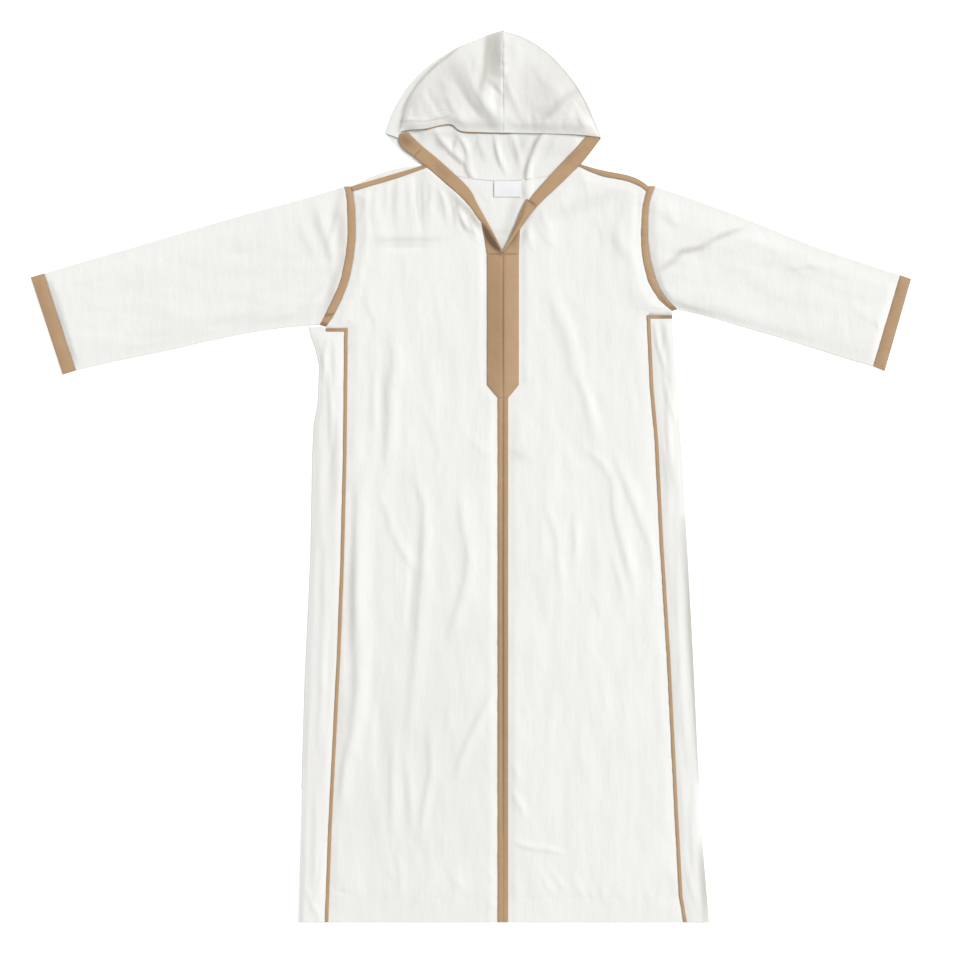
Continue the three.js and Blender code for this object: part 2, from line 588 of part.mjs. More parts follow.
// A side gore: it starts at the front seam, wraps round the side and ends at the back seam
function gore(name, side) {
  const top = side.underarmY - HALF_GAP;
  const edgeAt = (y) => outAt(side.edge, y) - FLAT_TOP / 2;
  const seamAt = (y) => outAt(side.seam, y) + HALF_GAP;
  const share = (out) => (out - seamAt(top)) / (edgeAt(top) - seamAt(top));
  const cornerShares = [share(side.cornerOut + 0.4), share(side.cornerOut + 3.4)];
  const shares = side.goreRise > 0
    ? [0, share(seamAt(top) + PIPING_HALF), 0.3, ...cornerShares, 0.8, 1]
    : [0, share(seamAt(top) + PIPING_HALF), 0.3, 0.5, 0.75, 1];
  const heights = [...bodyHeights(side), top - PIPING_HALF - SEAM_GAP, top];
  const sections = heights.map((y, row) => {
    const atTop = row === heights.length - 1;
    const front = shares.map((part, column) => {
      const out = lerp(seamAt(y), edgeAt(y), part);
      const rise = atTop ? side.goreRise * smoothstep(out, side.cornerOut + 0.5, side.cornerOut + 3.3) : 0;
      const calm = row >= heights.length - 2 || column < 2 || column === shares.length - 1 ? 0 : 1;
      return { out, y: y + rise, z: layerTop(name, GORE_PUFF, calm, out, y) };
    });
    return layeredSection(front, [...front].reverse(), WALL, false);
  });
  const slitRow = heights.indexOf(SLIT_TOP);
  const firstTurn = shares.length - 1;
  const isCut = (row, column) => {
    return row < slitRow && column >= firstTurn && column < firstTurn + TURN_STEPS;
  };
  return clothWall(sections, side.sign, { isCut });
}

// A tube pressed flat: place(t, s) runs from one end to the other with t, and from its lower folded
// edge to its upper one with s
function pressedTube({ side, place, top, shares, steps, wall }) {
  const sections = [];
  for (let step = 0; step <= steps; step += 1) {
    const t = step / steps;
    const line = shares.map((s) => place(t, s));
    const turn = top(t, 0) / 2;
    line[0] = towards(line[0], line[1], turn);
    line[line.length - 1] = towards(line.at(-1), line.at(-2), turn);
    const front = line.map((spot, index) => {
      return { ...spot, z: top(t, shares[index], spot) };
    });
    sections.push(layeredSection(front, [...front].reverse(), wall, true));
  }
  return clothWall(sections, side.sign, { around: true });
}

// How far along its armhole each section lies, from 0 to 1
function armholeShares(side) {
  const rows = armholeSections(side);
  const lengths = [0];
  for (let index = 1; index < rows.length; index += 1) {
    const [a, b] = [rows[index - 1], rows[index]];
    const step = Math.hypot(b.sleeveOut - a.sleeveOut, b.sleeveY - a.sleeveY);
    lengths.push(lengths.at(-1) + step);
  }
  return lengths.map((length) => length / lengths.at(-1));
}

function armholeBand(side) {
  const rows = armholeSections(side);
  const shares = armholeShares(side);
  const place = (t, s) => {
    const row = rows[shares.indexOf(s)];
    const body = { out: row.bodyOut, y: row.bodyY };
    const sleeveEdge = { out: row.sleeveOut, y: row.sleeveY };
    const start = towards(body, sleeveEdge, HALF_GAP);
    const end = towards(sleeveEdge, body, HALF_GAP);
    return between(start, end, t);
  };
  const top = () => FLAT_TOP + BAND_RISE;
  return pressedTube({ side, place, top, shares, steps: 2, wall: WALL });
}

function sleeve(name, side) {
  const rows = armholeSections(side);
  const shares = armholeShares(side);
  const last = side.sleeve.at(-1);
  const atArmhole = (s) => {
    const row = rows[shares.indexOf(s)];
    const body = { out: row.bodyOut, y: row.bodyY };
    return towards({ out: row.sleeveOut, y: row.sleeveY }, body, -HALF_GAP);
  };
  const atCuff = (s) => ({ out: lerp(last.lowOut, last.topOut, s), y: lerp(last.lowY, last.topY, s) });
  const shift = (edge, share) => {
    const offset = { out: atArmhole(share).out - edge(0).out, y: atArmhole(share).y - edge(0).y };
    return (t) => {
      const spot = edge(t);
      return { out: spot.out + offset.out * (1 - t), y: spot.y + offset.y * (1 - t) };
    };
  };
  const lowEdge = shift((t) => {
    const row = smoothRow(side.sleeve, t);
    return { out: row.lowOut, y: row.lowY };
  }, 0);
  const topEdge = shift((t) => {
    const row = smoothRow(side.sleeve, t);
    return { out: row.topOut, y: row.topY };
  }, 1);
  const place = (t, s) => patch(atArmhole, atCuff, lowEdge, topEdge, t, s);
  const top = (t, s, spot) => {
    if (!spot) return FLAT_TOP;
    const calm = Math.min(1, 6 * t, 6 * (1 - t)) * Math.min(1, 7 * s, 7 * (1 - s));
    return layerTop(name, SLEEVE_PUFF, Math.max(calm, 0), spot.out, spot.y);
  };
  return pressedTube({ side, place, top, shares, steps: SLEEVE_ROWS, wall: WALL });
}

function cuff(side) {
  const shares = [0, 0.25, 0.5, 0.75, 1];
  const near = side.sleeve.at(-1);
  const far = side.cuff;
  const place = (t, s) => {
    const start = { out: lerp(near.lowOut, near.topOut, s), y: lerp(near.lowY, near.topY, s) };
    const end = { out: lerp(far.lowOut, far.topOut, s), y: lerp(far.lowY, far.topY, s) };
    return between(towards(start, end, SEAM_GAP), end, t);
  };
  return pressedTube({ side, place, top: () => FLAT_TOP, shares, steps: 1, wall: WALL });
}

// Half of the hood: its front edge lies on top, it turns at the outline and runs back to the neck
function hoodHalf(name, side) {
  const rowAt = (s) => smoothRow(side.hood, s);
  const turn = side.hoodFoldTop / 2;
  const outlineAt = (s) => {
    const row = rowAt(s);
    return { out: row.out, y: row.y };
  };
  const outwardAt = (s) => {
    const step = 0.01;
    const a = outlineAt(Math.max(s - step, 0));
    const b = outlineAt(Math.min(s + step, 1));
    const length = Math.hypot(b.out - a.out, b.y - a.y);
    const outward = { out: (a.y - b.y) / length, y: (b.out - a.out) / length };
    const blend = smoothstep(s, 0, 0.12);
    const mixed = { out: outward.out * blend, y: lerp(1, outward.y, blend) };
    const size = Math.hypot(mixed.out, mixed.y);
    return { out: mixed.out / size, y: mixed.y / size };
  };
  const insetAt = (distance) => (s) => {
    const outline = outlineAt(s);
    const outward = outwardAt(s);
    return { out: outline.out - outward.out * distance, y: outline.y - outward.y * distance };
  };
  const faceAt = (s) => ({ out: rowAt(s).faceOut, y: rowAt(s).faceY });
  const neckAt = (s) => backNeck(side, s, HALF_GAP);
  const sideAt = (t) => {
    const [from, through, to] = [insetAt(turn)(1), side.hoodSide, neckAt(1)];
    return between(between(from, through, t), between(through, to, t), t);
  };
  const centreAt = (t) => between(insetAt(turn)(0), neckAt(0), t);

  const sections = [];
  for (let column = 0; column < HOOD_COLUMNS; column += 1) {
    const s = column / (HOOD_COLUMNS - 1);
    const crease = insetAt(Math.max(rowAt(s).creaseIn, turn + 1))(s);
    const front = [];
    for (let row = 0; row < HOOD_ROWS; row += 1) {
      const t = row / (HOOD_ROWS - 1);
      const spot = between(faceAt(s), crease, t);
      const corner = smoothstep(s, 0.72, 0.92);
      const pastSeam = s === 0 ? 0 : 1;
      const edgeTop = lerp(HOOD_FACE_TOP, HOOD_FOLD_TOP, Math.max(corner, smoothstep(t, 0.2, 1)));
      const calm = 4 * t * (1 - t) * (1 - smoothstep(s, 0.75, 1));
      const folds = foldRise(FOLDS[name], spot.out, spot.y) * pastSeam * Math.min(1, 5 * t, 3 * (1 - t));
      front.push({ ...spot, z: edgeTop + Math.max(HOOD_PUFF * calm + folds * (1 - corner), 0) });
    }
    front.push({ ...insetAt(turn)(s), z: side.hoodFoldTop });
    const back = [];
    for (let row = 0; row <= HOOD_ROWS - 3; row += 1) {
      back.push(patch(insetAt(turn), neckAt, centreAt, sideAt, row / (HOOD_ROWS - 3), s));
    }
    const shift = (spot) => ({ ...spot, out: spot.out + HALF_GAP * (1 - smoothstep(s, 0, 0.3)) });
    sections.push(layeredSection(front.map(shift), back.map(shift), WALL, false));
  }
  return clothWall(sections, side.sign);
}

// The facing under the hood's front edge, which shows as a thin line below it
function hoodEdgeBand() {
  const outline = [];
  for (let step = -EDGE_STEPS; step <= EDGE_STEPS; step += 1) {
    const side = step < 0 ? SIDES.left : SIDES.right;
    const row = smoothRow(side.hood, (EDGE_BAND_REACH * Math.abs(step)) / EDGE_STEPS);
    outline.push({ out: row.faceOut * side.sign, y: row.faceY - EDGE_BAND.showing });
  }
  const upper = [...outline].reverse().map(({ out, y }) => ({ out, y: y + EDGE_BAND.width }));
  return flatPiece([...outline, ...upper], 1, HOOD_FACE_TOP - WALL - SEAM_GAP - TAPE, TAPE);
}

function neckBand(side) {
  const outer = neckEdge(side, HALF_GAP);
  const inner = side.neck.map((row) => ({ out: row.innerOut, y: row.innerY }));
  return flatPiece([...outer, ...inner.reverse()], side.sign, FLAT_TOP - WALL, WALL);
}

// Half of the chest placket, up to the neck band and down to its point
function placket(side) {
  const neck = neckEdge(side, -HALF_GAP).slice(0, 3);
  const outline = [
    { out: HALF_GAP, y: CENTRE_TOP + SEAM_GAP },
    { out: CENTRE_HALF, y: CENTRE_TOP + SEAM_GAP },
    { out: PLACKET_HALF, y: PLACKET_LOW },
    { out: PLACKET_HALF, y: neck[0].y - 4 },
    ...neck.reverse(),
    { out: HALF_GAP, y: neck.at(-1).y },
  ];
  return flatPiece(outline, side.sign, FLAT_TOP + SEAM_GAP, TAPE);
}

function centreBand(side) {
  const outline = [
    { out: HALF_GAP, y: 0 },
    { out: CENTRE_HALF, y: 0 },
    { out: CENTRE_HALF, y: CENTRE_TOP },
    { out: HALF_GAP, y: CENTRE_TOP },
  ];
  return flatPiece(outline, side.sign, FLAT_TOP + SEAM_GAP, TAPE);
}

// The tape over the gore's seam, with its turn under the arm
function piping(side) {
  const z = FLAT_TOP + SEAM_GAP + TAPE;
  const heights = [...bodyHeights(side), side.underarmY - PIPING_HALF, side.underarmY + PIPING_HALF];
  const sections = heights.map((y) => {
    const seam = outAt(side.seam, y);
    const outs = [seam - PIPING_HALF, seam + PIPING_HALF, side.cornerOut];
    return sheetSection(outs.map((out) => ({ out, y, z })), TAPE);
  });
  const turnRow = heights.length - 2;
  return clothWall(sections, side.sign, { isCut: (row, column) => row < turnRow && column > 0 });
}

function neckLabel() {
  const { width, height, wall, out, y } = LABEL;
  const outline = [
    { out: out - width / 2, y: y - height / 2 },
    { out: out + width / 2, y: y - height / 2 },
    { out: out + width / 2, y: y + height / 2 },
    { out: out - width / 2, y: y + height / 2 },
  ];
  return flatPiece(outline, 1, WALL + SEAM_GAP, wall);
}

const garment = new THREE.Group();

function addPiece(name, geometry, finish) {
  const material = new THREE.MeshStandardMaterial({ ...COLOURS[finish], metalness: 0 });
  const piece = new THREE.Mesh(geometry, material);
  piece.name = name;
  garment.add(piece);
}

addPiece("back_panel", backPanel(), "cloth");
for (const [word, side] of Object.entries(SIDES)) {
  addPiece(`front_${word}`, frontPanel(`front_${word}`, side), "cloth");
  addPiece(`gore_${word}`, gore(`gore_${word}`, side), "cloth");
  addPiece(`sleeve_${word}`, sleeve(`sleeve_${word}`, side), "cloth");
  addPiece(`hood_${word}`, hoodHalf(`hood_${word}`, side), "cloth");
  addPiece(`cuff_${word}`, cuff(side), "trim");
  addPiece(`armhole_band_${word}`, armholeBand(side), "trim");
  addPiece(`shoulder_tape_${word}`, shoulderTape(side), "trim");
  addPiece(`neck_band_${word}`, neckBand(side), "trim");
  addPiece(`placket_${word}`, placket(side), "trim");
  addPiece(`centre_band_${word}`, centreBand(side), "trim");
  addPiece(`piping_${word}`, piping(side), "trim");
}
addPiece("hood_edge_band", hoodEdgeBand(), "trim");
addPiece("neck_label", neckLabel(), "label");

// The origin is the middle of the underside
const box = new THREE.Box3().setFromObject(garment);
const middle = box.getCenter(new THREE.Vector3());
garment.position.set(-middle.x, -middle.y, -box.min.z);

const part = new THREE.Group();
part.add(garment);

export default part;
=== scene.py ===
# %% [markdown]
# # A hooded robe, laid flat
#
# The robe lies on the floor with its front up: two layers of off-white cloth, a hood folded down over
# the neck, and tan tape along the seams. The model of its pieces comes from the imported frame. This
# lesson gives each piece its cloth, its folds and its sewing, and a camera that looks straight down.
#
# Almost every piece here is a surface over a grid of places, worked out with numpy. That suits cut
# cloth: a piece has an outline that a few rows of a table describe, and its folds are only heights.

import bmesh
import bpy
import numpy as np
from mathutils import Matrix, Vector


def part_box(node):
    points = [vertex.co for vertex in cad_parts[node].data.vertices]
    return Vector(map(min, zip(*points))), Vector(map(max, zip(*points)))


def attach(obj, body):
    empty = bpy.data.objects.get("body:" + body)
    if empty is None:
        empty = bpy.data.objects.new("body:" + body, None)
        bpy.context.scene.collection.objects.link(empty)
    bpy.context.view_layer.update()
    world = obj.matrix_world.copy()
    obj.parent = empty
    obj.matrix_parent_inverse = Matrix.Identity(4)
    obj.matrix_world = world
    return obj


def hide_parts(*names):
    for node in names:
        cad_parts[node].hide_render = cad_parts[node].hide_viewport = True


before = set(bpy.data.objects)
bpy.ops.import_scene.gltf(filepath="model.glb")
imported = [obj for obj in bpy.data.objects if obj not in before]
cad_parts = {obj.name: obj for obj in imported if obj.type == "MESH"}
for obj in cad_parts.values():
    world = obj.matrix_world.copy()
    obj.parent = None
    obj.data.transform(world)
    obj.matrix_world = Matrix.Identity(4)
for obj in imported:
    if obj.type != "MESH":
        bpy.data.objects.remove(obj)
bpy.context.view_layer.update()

# %% [markdown]
# ## Sizes
#
# A pattern maker works from the centre line of the robe: "out" is the distance from that line, "y" is
# the height above the hem, and both sides have a table of their own, because the robe doesn't lie
# evenly. The tables are written in millimetres and turned into metres as they are read.

# %% Sizes and the place of the centre line
MM = 0.001
CLOTH = 0.8 * MM  # thickness of the cloth
TAPE = 0.8 * MM  # thickness of the tapes
FLAT_TOP = 3.0 * MM  # top of the front layer where it is pressed flat
ON_TOP = 1.2 * MM  # top of a tape above the cloth that it lies on
BAND_TOP = 3.4 * MM  # top of the armhole bands
SEAM_GAP = 0.3 * MM  # between pieces that are sewn together
HALF_GAP = SEAM_GAP / 2
PLACKET_HALF = 29.6 * MM  # half the width of the placket
PLACKET_LOW = 993.5 * MM  # where it starts to narrow to its point
CENTRE_HALF = 9.75 * MM  # half the width of the centre band
CENTRE_TOP = 969.3 * MM  # its upper end, at the point of the placket
PIPING_HALF = 3.2 * MM
SLIT_TOP = 250 * MM  # height of the slit at the side
NECK_LOW = 1373 * MM  # the back neckline on the centre line
HOOD_FACE_TOP = 8.9 * MM  # top of the hood at its front edge
HOOD_FOLD_TOP = 4.6 * MM  # and where it turns
HEM_TURN = 45 * MM  # height of the turned-up hem
PLACKET_SEAM = 1235 * MM  # the seam across the placket, just below the V

low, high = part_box("centre_band_right")
CENTRE_X = low.x - HALF_GAP
HEM_Y = low.y
print(f"centre line at x = {CENTRE_X:.4f} m, hem at y = {HEM_Y:.4f} m")


def table(names, *rows):
    """A table with named columns, read in millimetres and kept in metres."""
    return dict(zip(names.split(), np.array(rows, float).T * MM))


# %% The outlines of the left side
LEFT = {
    "name": "left",
    "sign": -1,
    "underarm": 1095.5 * MM,
    "corner": 327.1 * MM,
    "gore_rise": 5.6 * MM,
    "front_crown": 0 * MM,
    "back_crown": 9.5 * MM,
    "bow": (4, 1),
    "tape_taper": 0.4,
    "hood_fold_top": FLAT_TOP,
    "hood_side": (184 * MM, 1414 * MM),
    "cuff": table("top_out top_y low_out low_y", (849, 1200, 790, 1020), (873.2, 1193, 814, 1012.5)),
    "seam": table("y out", (0, 326), (170, 320), (500, 303.3), (670, 297), (860, 292.4), (1100, 290)),
    "edge": table("y out", (0, 379.5), (133, 375.6), (410, 368), (670, 356.5), (865, 352.5),
                  (920, 350), (960, 342.5), (1030, 340), (1060, 347), (1100, 361)),
    "armhole": table("body_out body_y sleeve_out sleeve_y",
                     (327.1, 1101.7, 338.6, 1104.8), (308, 1132.2, 323.6, 1133.5),
                     (285.3, 1187.7, 299.4, 1190), (273.6, 1254, 287.9, 1254),
                     (273.4, 1315, 287.3, 1315), (276, 1339.5, 288.8, 1339.5),
                     (279.4, 1361, 293.4, 1361)),
    "sleeve": table("top_out top_y low_out low_y",
                    (293.4, 1361, 338.6, 1104.8), (385, 1334, 413, 1098), (480, 1308.5, 488, 1086),
                    (575, 1280.5, 563, 1070), (668, 1253, 640, 1052.5), (760, 1226.5, 715, 1037.5),
                    (849, 1200, 790, 1020)),
    "neck": table("outer_out outer_y inner_out inner_y",
                  (0.9, 1238, 0.15, 1241), (17.6, 1266.5, 14.6, 1268.7), (39.6, 1294, 31.4, 1299.8),
                  (60.1, 1321.8, 47.2, 1328.4), (81.4, 1345.1, 66.1, 1361), (137, 1392.9, 119.7, 1411),
                  (146, 1400, 128.5, 1418.4), (165.5, 1416, 150.5, 1436.5), (187.8, 1434, 166.5, 1452),
                  (195, 1455, 178, 1463)),
    "hood": table("out y crease face_out face_y",
                  (0, 1650, 4, 0, 1459), (42, 1636, 6, 40, 1460), (88, 1615.5, 8, 78, 1462.5),
                  (135.6, 1585.8, 13, 99, 1475), (175.4, 1546, 16, 143, 1467), (203, 1500, 20, 172, 1465),
                  (218.3, 1459, 26, 190, 1462.5)),
}

# %% The outlines of the right side
RIGHT = {
    "name": "right",
    "sign": 1,
    "underarm": 1119.5 * MM,
    "corner": 313.2 * MM,
    "gore_rise": 0 * MM,
    "front_crown": 7.8 * MM,
    "back_crown": 8.3 * MM,
    "bow": (256 / 27, 3),
    "tape_taper": 0.65,
    "hood_fold_top": HOOD_FOLD_TOP,
    "hood_side": (164 * MM, 1425 * MM),
    "cuff": table("top_out top_y low_out low_y", (734.5, 1197, 684.5, 1028), (754.8, 1189.6, 706, 1019.5)),
    "seam": table("y out", (0, 337), (50, 328.7), (190, 321.3), (495, 306), (705, 293), (887, 284.2),
                  (985, 275.3), (1120, 269)),
    "edge": table("y out", (0, 383), (133, 372), (300, 361), (503, 351.5), (670, 342.5), (873, 331),
                  (1040, 318), (1120, 313.4)),
    "armhole": table("body_out body_y sleeve_out sleeve_y",
                     (313.4, 1130.4, 321.5, 1133.5), (287.6, 1153, 297, 1160), (266.6, 1193, 280, 1197.4),
                     (256.2, 1250, 269, 1250), (257.6, 1312, 268.7, 1312), (262, 1339.5, 273.2, 1339.5),
                     (268.4, 1361.5, 281.2, 1361.5)),
    "sleeve": table("top_out top_y low_out low_y",
                    (281.2, 1361.5, 321.5, 1133.5), (355, 1336.5, 382, 1119), (431, 1308.5, 443, 1101),
                    (507, 1278, 504, 1083.5), (583, 1247.5, 564, 1065), (659, 1221.5, 624, 1046),
                    (734.5, 1197, 684.5, 1028)),
    "neck": table("outer_out outer_y inner_out inner_y",
                  (0.9, 1238, 0.15, 1241), (16, 1259, 11, 1262.4), (31.3, 1281.3, 21.6, 1287.6),
                  (61.4, 1322, 43.8, 1337.4), (100, 1359.4, 81.2, 1378.8), (134, 1392.4, 115.2, 1411.6),
                  (144, 1402, 125, 1421.4), (157, 1417.5, 137, 1434.5), (170, 1434, 148, 1447),
                  (180.5, 1449.5, 160, 1458)),
    "hood": table("out y crease face_out face_y",
                  (0, 1650, 4, 0, 1459), (42.6, 1635.4, 5, 30, 1458.5), (87, 1606, 5, 60, 1458),
                  (127, 1562, 5, 92, 1457.5), (151.5, 1524, 5, 124, 1456.5), (168.5, 1487, 5, 154, 1454.5),
                  (184, 1450, 4, 180, 1451.5)),
}
SIDES = (LEFT, RIGHT)
SHOULDER = 6 / 9  # the share of the neck table at the shoulder seam

# %% [markdown]
# ## Folds
#
# Cloth that lies flat still keeps creases. Each is a soft ridge or trough along a slightly bent line,
# and each is listed on its own: none has the same length, width or height as the next. A simulation
# would give folds too, but not where this robe has them, so heights over the plan are the better way.


# %% The folds of each piece
def bent_lines(*rows):
    """Soft lines on a piece: where each starts and ends, how far it bends, its width and its rise."""
    return table("from_out from_y to_out to_y bend width rise", *rows)


